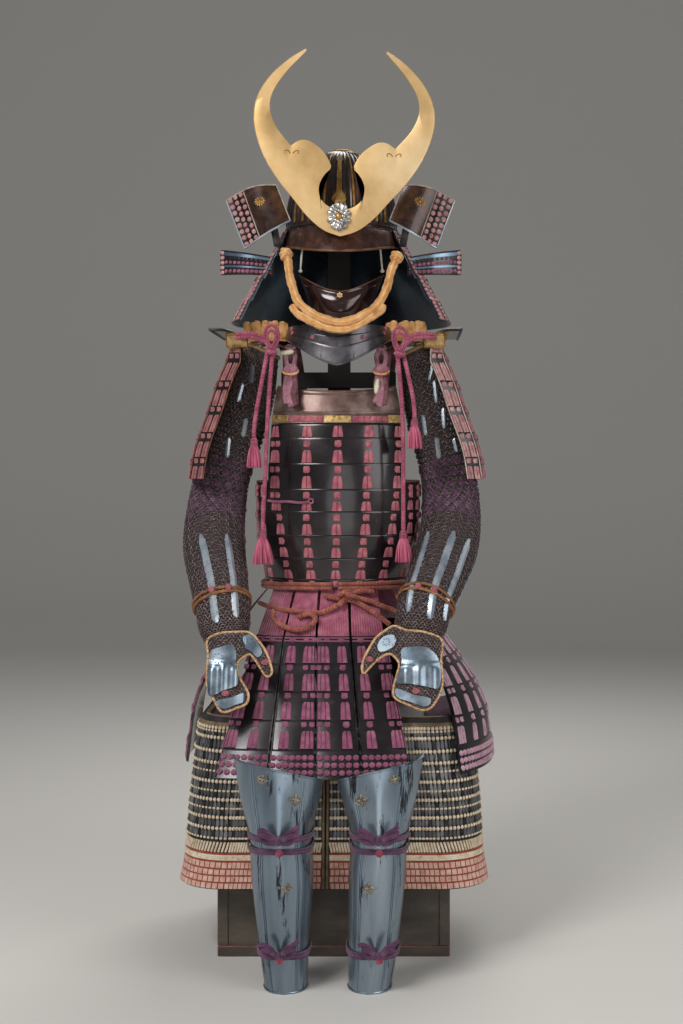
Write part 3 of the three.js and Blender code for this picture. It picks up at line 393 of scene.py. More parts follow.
    def make(self, name, finishes, replaces=(), sharp=38):
        """The object: its mesh in metres, its finishes, and the CAD nodes it stands for."""
        mesh = bpy.data.meshes.new(name)
        points = np.concatenate(self.points) * MM
        faces = np.concatenate(self.faces)
        corners = np.concatenate(self.uvs)
        slots = np.concatenate(self.slots)
        three = faces[:, 2] == faces[:, 3]
        sizes = np.where(three, 3, 4)
        keep = np.ones(faces.shape, bool)
        keep[three, 3] = False
        mesh.vertices.add(len(points))
        mesh.vertices.foreach_set("co", points.ravel())
        mesh.loops.add(int(sizes.sum()))
        mesh.loops.foreach_set("vertex_index", faces[keep])
        mesh.polygons.add(len(faces))
        mesh.polygons.foreach_set("loop_start", np.concatenate([[0], np.cumsum(sizes)[:-1]]))
        mesh.polygons.foreach_set("loop_total", sizes)
        mesh.polygons.foreach_set("material_index", slots)
        mesh.polygons.foreach_set("use_smooth", np.ones(len(faces), bool))
        layer = mesh.uv_layers.new(name="weave")
        layer.data.foreach_set("uv", corners.reshape(len(faces), 4, 2)[keep].ravel())
        mesh.update()
        mesh.validate()
        weld = bmesh.new()
        weld.from_mesh(mesh)
        bmesh.ops.remove_doubles(weld, verts=weld.verts, dist=2e-6)
        bmesh.ops.dissolve_degenerate(weld, edges=weld.edges, dist=1e-7)
        weld.to_mesh(mesh)
        weld.free()
        mesh.set_sharp_from_angle(angle=math.radians(sharp))
        for finish in finishes:
            mesh.materials.append(finish)
        piece = bpy.data.objects.new(name, mesh)
        bpy.context.scene.collection.objects.link(piece)
        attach(piece, "root")
        if replaces:
            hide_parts(*([replaces] if isinstance(replaces, str) else replaces))
        return piece


class Surface:
    """point(u, v) -> (..., 3) in millimetres, with the normal that points away from `core`."""

    def __init__(self, point, core, at=(0.5, 0.5)):
        self.point = point
        u, v = map(np.array, at)
        away = np.dot(self.raw_normal(u, v), point(u, v) - np.asarray(core, float))
        self.side = float(np.sign(away)) or 1.0

    def raw_normal(self, u, v, e=0.004):
        du = self.point(u + e, v) - self.point(u - e, v)
        dv = self.point(u, v + e) - self.point(u, v - e)
        return unit(np.cross(du, dv))

    def normal(self, u, v):
        return self.raw_normal(np.asarray(u, float), np.asarray(v, float)) * self.side

    def at(self, u, v, lift=0.0):
        u, v = np.broadcast_arrays(np.asarray(u, float), np.asarray(v, float))
        return self.point(u, v) + self.normal(u, v) * np.asarray(lift, float)[..., None]

    def sheet(self, us, rows):
        """Rows are (v, lift) pairs."""
        vs, lifts = np.array(rows, float).T
        u, v = np.meshgrid(np.asarray(us, float), vs)
        return self.at(u, v, np.repeat(lifts[:, None], len(us), axis=1))

    def across(self, v, count, lift=0.0, start=0.0, stop=1.0):
        """A line of points along u."""
        return self.at(np.linspace(start, stop, count), v, lift)

    def down(self, u, count, lift=0.0, start=0.0, stop=1.0):
        """A line of points along v."""
        return self.at(u, np.linspace(start, stop, count), lift)

    def axes(self, u, v, step=0.01):
        """Along u, down the surface and out of it."""
        n = self.normal(u, v)
        side = unit(self.at(u + step, v) - self.at(u - step, v))
        return side, np.cross(n, side), n

    def span(self, u, v, size, along_u=True):
        """How much of u (or v) covers `size` millimetres at (u, v)."""
        e = 0.01
        pair = ((u + e, v), (u - e, v)) if along_u else ((u, v + e), (u, v - e))
        a, b = (self.point(*map(np.array, place)) for place in pair)
        return size / (np.linalg.norm(a - b) / (2 * e))


def plate(shape, surface, us, rows, depth, slot=0, inner_slot=None):
    """A closed wall on a surface: the outer face stands at each row's lift, the inner one lies flat."""
    outer = surface.sheet(us, rows)
    inner = surface.sheet(us, [(row[0], -depth) for row in rows])
    shape.shell(outer, inner, False, slot, inner_slot)


def braid_patch(shape, surface, u, v0, v1, width0, width1, braids=2, lift=0.6, high=1.5, slot=0, steps=7):
    """Flat braids side by side that run down a surface from v0 to v1."""
    t = np.linspace(0, 1, steps)
    wide = mix(width0, width1, t) * (0.62 + 0.38 * np.sqrt(np.clip(t / 0.22, 0, 1)))  # narrower at the top
    scale = surface.span(u, (v0 + v1) / 2, 1.0)
    across = np.array([-0.5, -0.42, -0.22, 0, 0.22, 0.42, 0.5])
    hump = np.array([0, 0.72, 0.97, 1.0, 0.97, 0.72, 0])
    vv = np.repeat(mix(v0, v1, t)[:, None], len(across), axis=1)
    rise = np.repeat((lift + high * hump)[None, :], steps, axis=0)
    rise[0] = lift
    for k in range(braids):
        centre = (k + 0.5) / braids - 0.5
        uu = u + (centre + across[None, :] / braids * 0.94) * wide[:, None] * scale
        points = surface.at(uu, vv, rise)
        uv = np.stack(np.meshgrid(across + 0.5, run_of(points[:, 3]) * MM), axis=-1)
        outward = np.cross(points[1, 4] - points[1, 3], points[2, 3] - points[1, 3])
        shape.grid(points, False, slot, uv, flip=np.dot(outward, surface.normal(uu[1, 3], vv[1, 3])) < 0)


def lace_knot(shape, surface, u, v, radius, lift=0.6, slot=0):
    """The crossed knot of a lace: a low round lump."""
    side, down, n = surface.axes(u, v)
    p = surface.at(u, v, lift)
    shape.ball(p + n * 0.2, (radius, radius, radius * 0.42), slot, 10, 5, np.stack([side, down, n]))
    for s in (-1, 1):
        t = np.linspace(-0.72, 0.72, 5)[:, None] * radius
        path = p + t * side + s * t * down + n * radius * 0.36 * np.cos(t / radius * 1.3)
        shape.tube(path, radius * 0.26, 6, slot, flat=0.6, up=n)


# ------------------------------------------------------------------ finishes
def nodes_of(material):
    material.use_nodes = True
    return material.node_tree.nodes, material.node_tree.links


def add_node(nodes, kind, **inputs):
    """A node of a material, with the inputs that are given set to plain values."""
    node = nodes.new("ShaderNode" + kind)
    for label, value in inputs.items():
        node.inputs[label.replace("_", " ")].default_value = value
    return node


def colour(rgb):
    """An sRGB colour of 0 to 255, as linear values."""
    out = [((c / 255 + 0.055) / 1.055) ** 2.4 if c > 10 else c / 255 / 12.92 for c in rgb]
    return (*out, 1.0)


def finish(name, base, dark=None, light=None, rough=0.5, metal=0.0, scale=40.0, stretch=(1, 1, 1), wear=None,
           wear_amount=0.5, wear_scale=25.0, wear_rough=None, bump=0.15, bump_scale=400.0, coat=0.0,
           sheen=0.0,
           weave=None, weave_size=None, weave_shade=0.6, rough_spread=0.12, wear_metal=None):
    """A surface: a base colour that drifts to a darker and a lighter one, worn patches in another
    colour, and a fine bump. `weave` adds a braid, cord or cloth pattern on the piece's own lay,
    with painted shade darkening the grooves between its strands."""
    material = bpy.data.materials.new(name)
    nodes, links = nodes_of(material)
    shader = nodes["Principled BSDF"]
    coords = add_node(nodes, "TexCoord")
    place = add_node(nodes, "Mapping", Scale=stretch)
    links.new(coords.outputs["Object"], place.inputs["Vector"])
    noise = add_node(nodes, "TexNoise", Scale=scale, Detail=6, Roughness=0.6)
    links.new(place.outputs["Vector"], noise.inputs["Vector"])
    ramp = add_node(nodes, "ValToRGB")
    links.new(noise.outputs["Fac"], ramp.inputs["Fac"])
    low, high = ramp.color_ramp.elements
    low.position, high.position = 0.3, 0.72
    low.color = colour(dark or tuple(c * 0.72 for c in base))
    high.color = colour(light or tuple(min(c * 1.18, 255) for c in base))
    ramp.color_ramp.elements.new(0.5).color = colour(base)
    tint = ramp.outputs["Color"]
    mask = None
    if wear:
        spots = add_node(nodes, "TexNoise", Scale=wear_scale, Detail=9, Roughness=0.72)
        links.new(place.outputs["Vector"], spots.inputs["Vector"])
        edge = 0.72 - 0.3 * wear_amount
        cut = add_node(nodes, "MapRange", From_Min=edge, From_Max=edge + 0.05)
        links.new(spots.outputs["Fac"], cut.inputs["Value"])
        mask = cut.outputs["Result"]
        blend = add_node(nodes, "MixRGB", Color2=colour(wear))
        links.new(mask, blend.inputs["Fac"])
        links.new(tint, blend.inputs["Color1"])
        tint = blend.outputs["Color"]
    grain = add_node(nodes, "TexNoise", Scale=bump_scale, Detail=4)
    links.new(place.outputs["Vector"], grain.inputs["Vector"])
    height = grain.outputs["Fac"]
    if weave:
        height, tint = woven(nodes, links, weave, weave_size, tint, height, weave_shade)
    links.new(tint, shader.inputs["Base Color"])
    spread = add_node(nodes, "MapRange", To_Min=max(rough - rough_spread, 0.04),
                      To_Max=min(rough + rough_spread, 1.0))
    links.new(noise.outputs["Fac"], spread.inputs["Value"])
    roughness = spread.outputs["Result"]
    if wear and wear_rough is not None:
        pick = add_node(nodes, "Mix")
        links.new(mask, pick.inputs[0])
        links.new(roughness, pick.inputs[2])
        pick.inputs[3].default_value = wear_rough
        roughness = pick.outputs[0]
    links.new(roughness, shader.inputs["Roughness"])
    if wear and wear_metal is not None:
        pick = add_node(nodes, "MapRange", To_Min=metal, To_Max=wear_metal)
        links.new(mask, pick.inputs["Value"])
        links.new(pick.outputs["Result"], shader.inputs["Metallic"])
    else:
        shader.inputs["Metallic"].default_value = metal
    relief = add_node(nodes, "Bump", Strength=bump, Distance=0.0006)
    links.new(height, relief.inputs["Height"])
    links.new(relief.outputs["Normal"], shader.inputs["Normal"])
    shader.inputs["Coat Weight"].default_value = coat
    shader.inputs["Coat Roughness"].default_value = 0.12
    shader.inputs["Sheen Weight"].default_value = sheen
    return material


def woven(nodes, links, kind, size, tint, grain, depth):
    """Adds a braid or weave, laid along the piece's own u and v, to a colour and a height. The colour is
    darkened by `depth` in the grooves between the strands: painted shade.
    """
    uv = add_node(nodes, "UVMap")
    uv.uv_map = "weave"
    split = add_node(nodes, "SeparateXYZ")
    links.new(uv.outputs["UV"], split.inputs["Vector"])

    def maths(operation, *values):
        node = add_node(nodes, "Math")
        node.operation = operation
        for i, x in enumerate(values):
            if isinstance(x, (int, float)):
                node.inputs[i].default_value = x
            else:
                links.new(x, node.inputs[i])
        return node.outputs[0]

    def sine(x, factor):
        return maths("SINE", maths("MULTIPLY", x, factor))

    def sum_of(a, share_a, b, share_b):
        return maths("ADD", maths("MULTIPLY", a, share_a), maths("MULTIPLY", b, share_b))

    u, v = split.outputs["X"], split.outputs["Y"]
    turns, pitch = size
    if kind == "braid":  # two sets of slanting strands that meet in chevrons
        fold = maths("ABSOLUTE", maths("SUBTRACT", maths("FRACT", maths("MULTIPLY", u, turns)), 0.5))
        wave = sine(sum_of(v, 1 / pitch, fold, 2.0), 2 * math.pi)
        strands = sum_of(wave, 0.35, sine(fold, 4 * math.pi), 0.15)
    elif kind == "strands":  # threads side by side along v
        strands = maths("MULTIPLY", sine(u, 2 * math.pi / pitch), 0.5)
    else:  # plain weave, both ways in metres
        a, b = (sine(k, 2 * math.pi / pitch) for k in (u, v))
        strands = maths("MULTIPLY", maths("MULTIPLY", a, b), 0.5)
    height = sum_of(strands, 1.6, grain, 0.6)
    # painted shade: the colour is darkened by up to `depth` where the strands sink, between them
    shade = add_node(nodes, "MapRange", From_Min=-0.5, From_Max=0.4, To_Min=1 - depth, To_Max=1.0)
    links.new(strands, shade.inputs["Value"])
    blend = add_node(nodes, "MixRGB", Fac=1)
    blend.blend_type = "MULTIPLY"
    links.new(tint, blend.inputs["Color1"])
    links.new(shade.outputs["Result"], blend.inputs["Color2"])
    return height, blend.outputs["Color"]


def lace(name, base, dark, light, rough=0.85, scale=60, sheen=0.3, weave_size=(1, 0.003), weave_shade=0.45,
         bump=0.7):
    """Braided silk."""
    return finish(name, base, dark, light, rough, 0.0, scale, sheen=sheen, weave="braid",
                  weave_size=weave_size,
                  weave_shade=weave_shade, bump=bump)


def cloth(name, base, dark, light, rough=0.9, scale=60, sheen=0.0, weave_size=(1, 0.002), weave_shade=0.3,
          bump=0.5):
    """Plainly woven cloth."""
    return finish(name, base, dark, light, rough, 0.0, scale, sheen=sheen, weave="plain",
                  weave_size=weave_size,
                  weave_shade=weave_shade, bump=bump)


LACQUER = finish("black_lacquer", (42, 36, 38), (27, 22, 24), (62, 54, 54), 0.25, 0.45, 14,
                 wear=(70, 48, 38), wear_amount=0.28, wear_scale=60, wear_rough=0.5, bump=0.08,
                 bump_scale=260, coat=0.5, rough_spread=0.08)
RUSSET = finish("russet_lacquer", (70, 42, 32), (42, 26, 22), (104, 64, 46), 0.36, 0.35, 60,
                wear=(38, 24, 22), wear_amount=0.4, wear_scale=90, bump=0.25, bump_scale=520, coat=0.15)
BREAST = finish("breast_russet", (112, 88, 80), (84, 60, 54), (150, 128, 120), 0.38, 0.55, 26,
                wear=(92, 56, 44), wear_amount=0.35, wear_scale=120, bump=0.3, bump_scale=600, coat=0.1)
BOWL = finish("bowl_lacquer", (44, 30, 28), (26, 18, 18), (80, 50, 40), 0.34, 0.35, 34, wear=(104, 62, 44),
              wear_amount=0.25, wear_scale=80, bump=0.15, coat=0.3)
MASK = finish("mask_lacquer", (50, 27, 24), (34, 18, 17), (70, 38, 32), 0.22, 0.3, 22, bump=0.06, coat=0.6,
              rough_spread=0.06)
IRON = finish("dark_iron", (54, 50, 52), (34, 30, 32), (86, 82, 84), 0.38, 0.75, 40, wear=(84, 56, 44),
              wear_amount=0.3, wear_scale=70, bump=0.2, bump_scale=320)
# Polished steel whose pale colour also stands in for the shine of the lamps on it: painted reflection
STEEL_AND_PAINTED_SHINE = finish("steel_and_painted_shine", (178, 190, 200), (130, 146, 160), (218, 226, 232), 0.34, 0.5, 26,
                      stretch=(1, 1, 0.3), wear=(60, 66, 78), wear_amount=0.22, wear_scale=70, bump=0.1)
HAND_STEEL = finish("hand_steel", (122, 136, 148), (84, 98, 112), (168, 180, 190), 0.3, 0.7, 24,
                    wear=(34, 34, 42), wear_amount=0.26, wear_scale=90, wear_rough=0.5, bump=0.12,
                    bump_scale=300)
MOUNT = finish("mount_bronze", (132, 122, 106), (84, 76, 66), (176, 166, 148), 0.5, 0.6, 80, bump=0.3)
STEEL = finish("blued_steel", (112, 134, 152), (78, 98, 116), (150, 168, 182), 0.3, 0.9, 9,
               stretch=(1, 1, 0.5), wear=(26, 26, 32), wear_amount=0.3, wear_scale=46, wear_rough=0.6,
               wear_metal=0.3, bump=0.12, bump_scale=300, rough_spread=0.1)
SHIN_STEEL = finish("shin_steel", (134, 148, 160), (98, 114, 128), (174, 186, 196), 0.3, 0.85, 7,
                    stretch=(1.6, 1.6, 0.22), wear=(20, 20, 26), wear_amount=0.5, wear_scale=30,
                    wear_rough=0.62, wear_metal=0.2, bump=0.14, bump_scale=260, rough_spread=0.1)
# Dark blued steel of the neck guard, darkened further as painted shade for the guard's inside; the lames'
# outsides and the turnbacks' backs share it
NECK_STEEL_AND_SHADE = finish("neck_steel_and_shade", (40, 52, 64), (26, 33, 42), (66, 84, 98), 0.28, 0.75, 9, wear=(22, 18, 20),
                    wear_amount=0.2, wear_scale=60, wear_rough=0.5, bump=0.06, coat=0.2)
GOLD = finish("gilt", (214, 178, 124), (188, 152, 98), (232, 204, 158), 0.48, 0.55, 8, wear=(128, 120, 78),
              wear_amount=0.14, wear_scale=20, bump=0.07, bump_scale=200, rough_spread=0.08)
OLD_GOLD = finish("old_gold", (176, 138, 76), (116, 86, 44), (216, 180, 112), 0.42, 0.85, 90, bump=0.5,
                  bump_scale=380)
# Grey steel of the throat guard, its colour partly its own and partly lightened as a painted highlight
THROAT_STEEL_AND_HIGHLIGHT = finish("throat_steel_and_highlight", (84, 80, 84), (52, 48, 52), (132, 128, 132), 0.3, 0.75, 14, bump=0.06,
                coat=0.2)
BAND_GOLD = finish("band_gold", (186, 154, 98), (122, 96, 54), (226, 198, 146), 0.45, 0.7, 170, bump=0.9,
                   bump_scale=300)
SILVER = finish("silvered", (170, 164, 158), (112, 104, 104), (214, 210, 204), 0.32, 0.9, 60,
                wear=(96, 60, 70), wear_amount=0.3, wear_scale=120, bump=0.2)
PINK = lace("pink_lace", (188, 100, 112), (150, 70, 88), (214, 136, 138), scale=70, weave_size=(1, 0.0028))
PLUM = lace("plum_lace", (160, 84, 116), (120, 56, 88), (190, 118, 146))
GUARD_LACE = lace("guard_lace", (170, 102, 102), (130, 72, 76), (200, 136, 132), scale=70)
SIDE_LACE = lace("side_lace", (214, 164, 184), (178, 122, 148), (236, 202, 212))
STRAP_TIE = cloth("strap_tie", (176, 116, 132), (134, 82, 100), (204, 152, 160), rough=0.88, scale=70,
                  sheen=0.3, weave_shade=0.35, bump=0.6)
PALE_LACE = lace("pale_lace", (204, 148, 146), (166, 108, 110), (230, 190, 184), scale=70)
CURTAIN = lace("hanging_lace", (172, 88, 112), (132, 58, 86), (198, 120, 138), rough=0.88, scale=50,
               weave_shade=0.35, bump=0.5)
SILK = lace("silk_cord", (176, 76, 106), (140, 50, 82), (206, 112, 134), rough=0.8, weave_size=(2, 0.0062),
            weave_shade=0.55, bump=0.9)
TASSEL = finish("tassel_silk", (184, 84, 112), (138, 50, 80), (216, 122, 142), 0.8, 0.0, 120,
                stretch=(1, 1, 0.1), sheen=0.3, bump=0.4, bump_scale=600)
WAIST = lace("waist_braid", (176, 94, 76), (136, 66, 54), (206, 130, 104), sheen=0.2, weave_size=(2, 0.0075),
             weave_shade=0.5, bump=0.9)
CHIN = finish("chin_cloth", (224, 166, 102), (190, 128, 70), (240, 194, 138), 0.88, 0.0, 70, sheen=0.2,
              weave="strands", weave_size=(1, 0.2), weave_shade=0.25, bump=0.6, bump_scale=300)
TIE = cloth("tie_cloth", (92, 46, 84), (62, 28, 60), (126, 72, 112), scale=50, sheen=0.3,
            weave_size=(1, 0.0016))
CRIMSON = cloth("crimson_knot", (150, 42, 74), (110, 26, 54), (180, 70, 98), rough=0.85, sheen=0.3,
                weave_size=(1, 0.0016))
MAIL_CLOTH = cloth("mail_cloth", (70, 58, 58), (48, 39, 40), (94, 79, 78), rough=0.95, scale=80,
                   weave_shade=0.4)
PURPLE_CLOTH = cloth("purple_cloth", (96, 62, 86), (68, 42, 62), (126, 88, 112), rough=0.95, weave_shade=0.35)
MAIL = finish("mail_rings", (116, 101, 99), (80, 67, 67), (158, 143, 140), 0.5, 0.45, 120, bump=0.2)
PURPLE_MAIL = finish("purple_rings", (118, 100, 106), (82, 66, 72), (152, 134, 140), 0.55, 0.4, 120, bump=0.2)
TAN = finish("tan_leather", (206, 164, 116), (166, 122, 80), (226, 190, 146), 0.75, 0.0, 70, bump=0.5,
             bump_scale=420)
FRILL = finish("frill_leather", (212, 154, 94), (158, 104, 56), (234, 188, 130), 0.75, 0.0, 60, bump=0.5,
               bump_scale=380)
WRIST = lace("wrist_braid", (156, 104, 66), (118, 74, 46), (188, 136, 92), sheen=0.0, weave_size=(2, 0.006),
             weave_shade=0.5, bump=0.8)
PALE_EDGE = finish("pale_edging", (176, 158, 146), (138, 118, 110), (206, 192, 180), 0.6, 0.1, 90, bump=0.3)
GOLD_LEATHER = finish("gold_leather", (150, 118, 74), (104, 78, 48), (186, 154, 104), 0.6, 0.25, 90,
                      bump=0.6, bump_scale=340)
TURN_LACQUER = finish("turnback_lacquer", (64, 42, 34), (42, 27, 23), (94, 64, 50), 0.28, 0.3, 60,
                      wear=(52, 34, 28), wear_amount=0.3, wear_scale=140, bump=0.2, bump_scale=480, coat=0.3)
BROWN_LEATHER = finish("brown_leather", (92, 62, 48), (60, 38, 32), (124, 88, 66), 0.6, 0.0, 70, bump=0.5,
                       bump_scale=360)
HINGE = finish("hinge_lacquer", (104, 66, 44), (70, 42, 30), (140, 94, 62), 0.45, 0.2, 90, bump=0.3)
SPLINT = finish("splint_lacquer", (92, 92, 94), (58, 56, 58), (144, 144, 146), 0.35, 0.3, 45,
                stretch=(1, 1, 0.25), wear=(24, 22, 24), wear_amount=0.4, wear_scale=80, wear_rough=0.6,
                bump=0.2)
CREAM = lace("cream_lace", (234, 214, 184), (200, 172, 136), (246, 234, 212), rough=0.88, scale=90,
             sheen=0.0, weave_shade=0.3, bump=0.5)
BAND = cloth("olive_band", (134, 116, 88), (102, 86, 62), (160, 142, 112), rough=0.85, scale=50,
             weave_size=(1, 0.0018), weave_shade=0.35)
APRON = cloth("apron_cloth", (52, 46, 48), (34, 30, 32), (76, 68, 66), rough=0.95, scale=40,
              weave_size=(1, 0.0018), weave_shade=0.35)
BRICK = cloth("brick_cloth", (164, 66, 52), (124, 44, 36), (190, 92, 72), sheen=0.2, weave_size=(1, 0.0018))
RED_BROWN = cloth("red_brown_cloth", (140, 48, 44), (104, 32, 30), (168, 72, 62), weave_size=(1, 0.0018))
SQUARES = cloth("pale_squares", (232, 188, 168), (204, 148, 130), (244, 214, 196), rough=0.88, scale=80)
IVORY = finish("ivory", (206, 204, 170), (150, 160, 130), (228, 226, 204), 0.4, 0.0, 90, bump=0.2, coat=0.2)
WHITE_STRING = finish("white_string", (220, 216, 204), rough=0.85, scale=90, weave="braid",
                      weave_size=(1, 0.003), weave_shade=0.3, bump=0.5)
PAD = cloth("strap_cloth", (120, 74, 82), (84, 48, 56), (160, 110, 112), weave_shade=0.35)
BOX_WOOD = finish("box_lacquer", (66, 58, 50), (44, 38, 34), (92, 82, 70), 0.5, 0.0, 8, stretch=(1, 1, 3),
                  wear=(112, 66, 58), wear_amount=0.12, wear_scale=16, wear_rough=0.7, bump=0.2,
                  bump_scale=140, coat=0.1)
BOX_EDGE = finish("box_edge", (112, 66, 58), (70, 48, 42), (152, 92, 84), 0.55, 0.0, 26, wear=(62, 54, 48),
                  wear_amount=0.4, wear_scale=36, bump=0.25, bump_scale=160)
STAND_WOOD = finish("stand_wood", (26, 20, 17), rough=0.75, scale=20, stretch=(6, 6, 0.6), bump=0.2)


# ------------------------------------------------------------------ the camera, the light and the floor
def studio():
    scene = bpy.context.scene
    camera = bpy.data.objects.new("camera", bpy.data.cameras.new("camera"))
    camera.location = (0.135, -3.2, 0.92)
    camera.rotation_euler = (math.radians(90), 0, 0)
    camera.data.lens, camera.data.sensor_width = 57.3, 36
    camera.data.shift_x, camera.data.shift_y = -0.064, -0.0537
    scene.collection.objects.link(camera)
    scene.camera = camera
    floor = bpy.data.materials.new("floor")
    nodes, _ = nodes_of(floor)
    nodes["Principled BSDF"].inputs["Base Color"].default_value = colour((214, 210, 203))
    nodes["Principled BSDF"].inputs["Roughness"].default_value = 0.9
    mesh = bpy.data.meshes.new("floor")
    sweep = [(-6, 0), (4.6, 0), (5.4, 0.1), (6.2, 0.5), (6.7, 1.2), (6.9, 2.2), (6.9, 6)]
    points = [(x, y, z) for y, z in sweep for x in (-9, 9)]
    faces = [(2 * i, 2 * i + 1, 2 * i + 3, 2 * i + 2) for i in range(len(sweep) - 1)]
    mesh.from_pydata(points, [], faces)
    mesh.polygons.foreach_set("use_smooth", [True] * len(faces))
    mesh.materials.append(floor)
    piece = bpy.data.objects.new("floor", mesh)
    scene.collection.objects.link(piece)
    for name, place, aim, size, power in (
            ("key", (-1.7, -2.6, 2.9), (0, 0, 0.9), 1.6, 84),
            ("fill", (2.4, -2.3, 1.7), (0, 0, 0.8), 2.2, 36),
            ("low_fill", (0.2, -3.3, 0.5), (0, 0, 0.5), 1.6, 9),
            ("rim", (0.6, 1.9, 2.9), (0, 0, 1.1), 1.8, 38)):
        light = bpy.data.lights.new(name, "AREA")
        light.shape, light.size, light.energy = "DISK", size, power
        lamp = bpy.data.objects.new(name, light)
        lamp.location = place
        lamp.rotation_euler = (Vector(aim) - Vector(place)).to_track_quat("-Z", "Y").to_euler()
        scene.collection.objects.link(lamp)
    world = bpy.data.worlds.new("room")
    scene.world = world
    world.use_nodes = True
    world.node_tree.nodes["Background"].inputs[0].default_value = (0.62, 0.64, 0.68, 1)
    world.node_tree.nodes["Background"].inputs[1].default_value = 0.26
    scene.view_settings.view_transform = "Standard"


studio()


# ------------------------------------------------------------------ small parts used in many places
def block(shape, x0, x1, y0, y1, z0, z1, bevel=2.0, slot=0, edge_slot=0):
    """A board whose edges are chamfered by `bevel`, each corner of it as three points."""
    low, high = np.array([x0, y0, z0], float), np.array([x1, y1, z1], float)
    signs = [(i, j, k) for i in (0, 1) for j in (0, 1) for k in (0, 1)]
    points = []
    for s in signs:
        for axis in range(3):
            points.append([(high if s[k] else low)[k] + (0 if k == axis else (-bevel if s[k] else bevel))
                           for k in range(3)])
    points = np.array(points)
    at = {(s, axis): 3 * i + axis for i, s in enumerate(signs) for axis in range(3)}
    middle = (low + high) / 2
    uv = points[:, :2] * MM

    def face(names, which):
        quad = [at[n] for n in names]
        p = points[quad]
        n = np.cross(p[1] - p[0], p[2] - p[0])
        if np.dot(n, p.mean(axis=0) - middle) < 0:
            quad = quad[::-1]
        if len(quad) == 3:
            quad = quad + [quad[2]]
        shape.add(points, [quad], uv, which)

    for axis in range(3):
        b, c = [k for k in range(3) if k != axis]
        for end in (0, 1):
            corners = []
            for jb, jc in ((0, 0), (1, 0), (1, 1), (0, 1)):
                s = [0, 0, 0]
                s[axis], s[b], s[c] = end, jb, jc
                corners.append((tuple(s), axis))
            face(corners, slot)
        for jb in (0, 1):
            for jc in (0, 1):
                pair = []
                for end in (0, 1):
                    s = [0, 0, 0]
                    s[axis], s[b], s[c] = end, jb, jc
                    pair.append(tuple(s))
                face([(pair[0], b), (pair[1], b), (pair[1], c), (pair[0], c)], edge_slot)
    for s in signs:
        face([(s, 0), (s, 1), (s, 2)], edge_slot)


def lames(lines, lip, edge, rim):
    """Rows for lames between lines given in v. `rim` is the height of a rounded upper edge, in v."""
    rows = []
    for top, low in zip(lines[:-1], lines[1:]):
        rows += [(top, edge), (top + 0.25 * rim, lip * 0.8), (top + 0.8 * rim, lip),
                 (top + 1.7 * rim, lip * 0.92),
                 (mix(top, low, 0.55), mix(lip, edge, 0.4))]
    return rows + [(lines[-1], edge)]


def upright(u):
    """A column of laces that stays at one u."""
    return lambda v: u


def lacing(shape, surface, column, lines, knots=True, wide=20.0, top_wide=16.0, knot=7.2, drop=3.0,
           lift=1.4, slot=1, double=False):
    """One column of laces: under each line a crossed knot, then a pair of braids down to the next.
    `column(v)` is the u it stands at, and sizes are in millimetres."""
    for top, low in zip(lines[:-1], lines[1:]):
        mm = surface.span(column(top), (top + low) / 2, 1.0, False)
        v = top + (drop + knot) * mm
        u = column(v)
        size = surface.span(u, v, 1.0)
        if knots and (low - top) > 0.6 * knot * mm:
            for k in ((-0.28, 0.28) if double else (0,)):
                lace_knot(shape, surface, u + k * wide * size, v, knot * (0.86 if double else 1), lift, slot)
        start = top + (drop + 2 * knot + 3.5) * mm if knots else top + 1.5 * mm
        stop = low - 0.6 * mm
        if stop - start > 6 * mm:
            braid_patch(shape, surface, column((start + stop) / 2), start, stop, top_wide, wide,
                        3 if double else 2,
                        lift * 0.7, 1.7, slot)


def strip(shape, surface, us, vs, lift, thick, slot):
    """A low raised band on a surface."""
    outer = surface.sheet(us, [(v, lift + thick) for v in vs])
    inner = surface.sheet(us, [(v, lift - 0.4) for v in vs])
    shape.shell(outer, inner, slot=slot)


def cut_plate(shape, outline, place, step, thick, slot, relief=None):
    """A plate cut to a flat outline. place(p, q, lift) says where each of its points lies."""
    outline = np.asarray(outline, float)
    count = len(outline)
    low, high = outline.min(axis=0), outline.max(axis=0)
    p, q = np.meshgrid(np.arange(low[0], high[0], step), np.arange(low[1], high[1], step))
    inner = np.stack([p.ravel(), q.ravel()], axis=1)
    gap = np.linalg.norm(inner[:, None] - outline[None], axis=2).min(axis=1)
    inner = inner[inside(outline, inner) & (gap > 0.6 * step)]
    ring = [(i, (i + 1) % count) for i in range(count)]
    made, _, faces, origin, *_ = delaunay_2d_cdt([Vector(k) for k in np.vstack([outline, inner])], ring, [],
                                                 1, 1e-5)
    flat = np.array([tuple(k) for k in made])
    at = {k: i for i, names in enumerate(origin) for k in names}
    border = [at[i] for i in range(count)]
    triangles = np.array([face for face in faces if len(face) == 3])
    top = place(flat[:, 0], flat[:, 1], relief(flat[:, 0], flat[:, 1]) if relief else np.zeros(len(flat)))
    back = place(flat[:, 0], flat[:, 1], np.full(len(flat), -thick))
    a, b, c = top[triangles[0]]
    outwards = np.dot(np.cross(b - a, c - a), top[triangles[0][0]] - back[triangles[0][0]]) > 0
    if not outwards:
        triangles = triangles[:, ::-1]
    shape.add3(top, triangles, slot)
    shape.add3(back, triangles[:, ::-1], slot)
    turn = np.roll(outline, -1, axis=0)
    area = (outline[:, 0] * turn[:, 1] - turn[:, 0] * outline[:, 1]).sum()
    shape.grid(np.stack([top[border], back[border]]), True, slot, flip=bool((area > 0) == outwards))


def rounded(points, count):
    """A closed outline through the points, with its corners eased."""
    points = np.asarray(points, float)
    points = np.vstack([points[-2:], points, points[:3]])
    dense, number = dense_path(np.column_stack([points, np.zeros(len(points))]))
    dense = dense[(number >= 2) & (number < len(points) - 3), :2]
    run = run_of(dense)
    return at_run(dense, run, np.linspace(0, run[-1], count, endpoint=False))


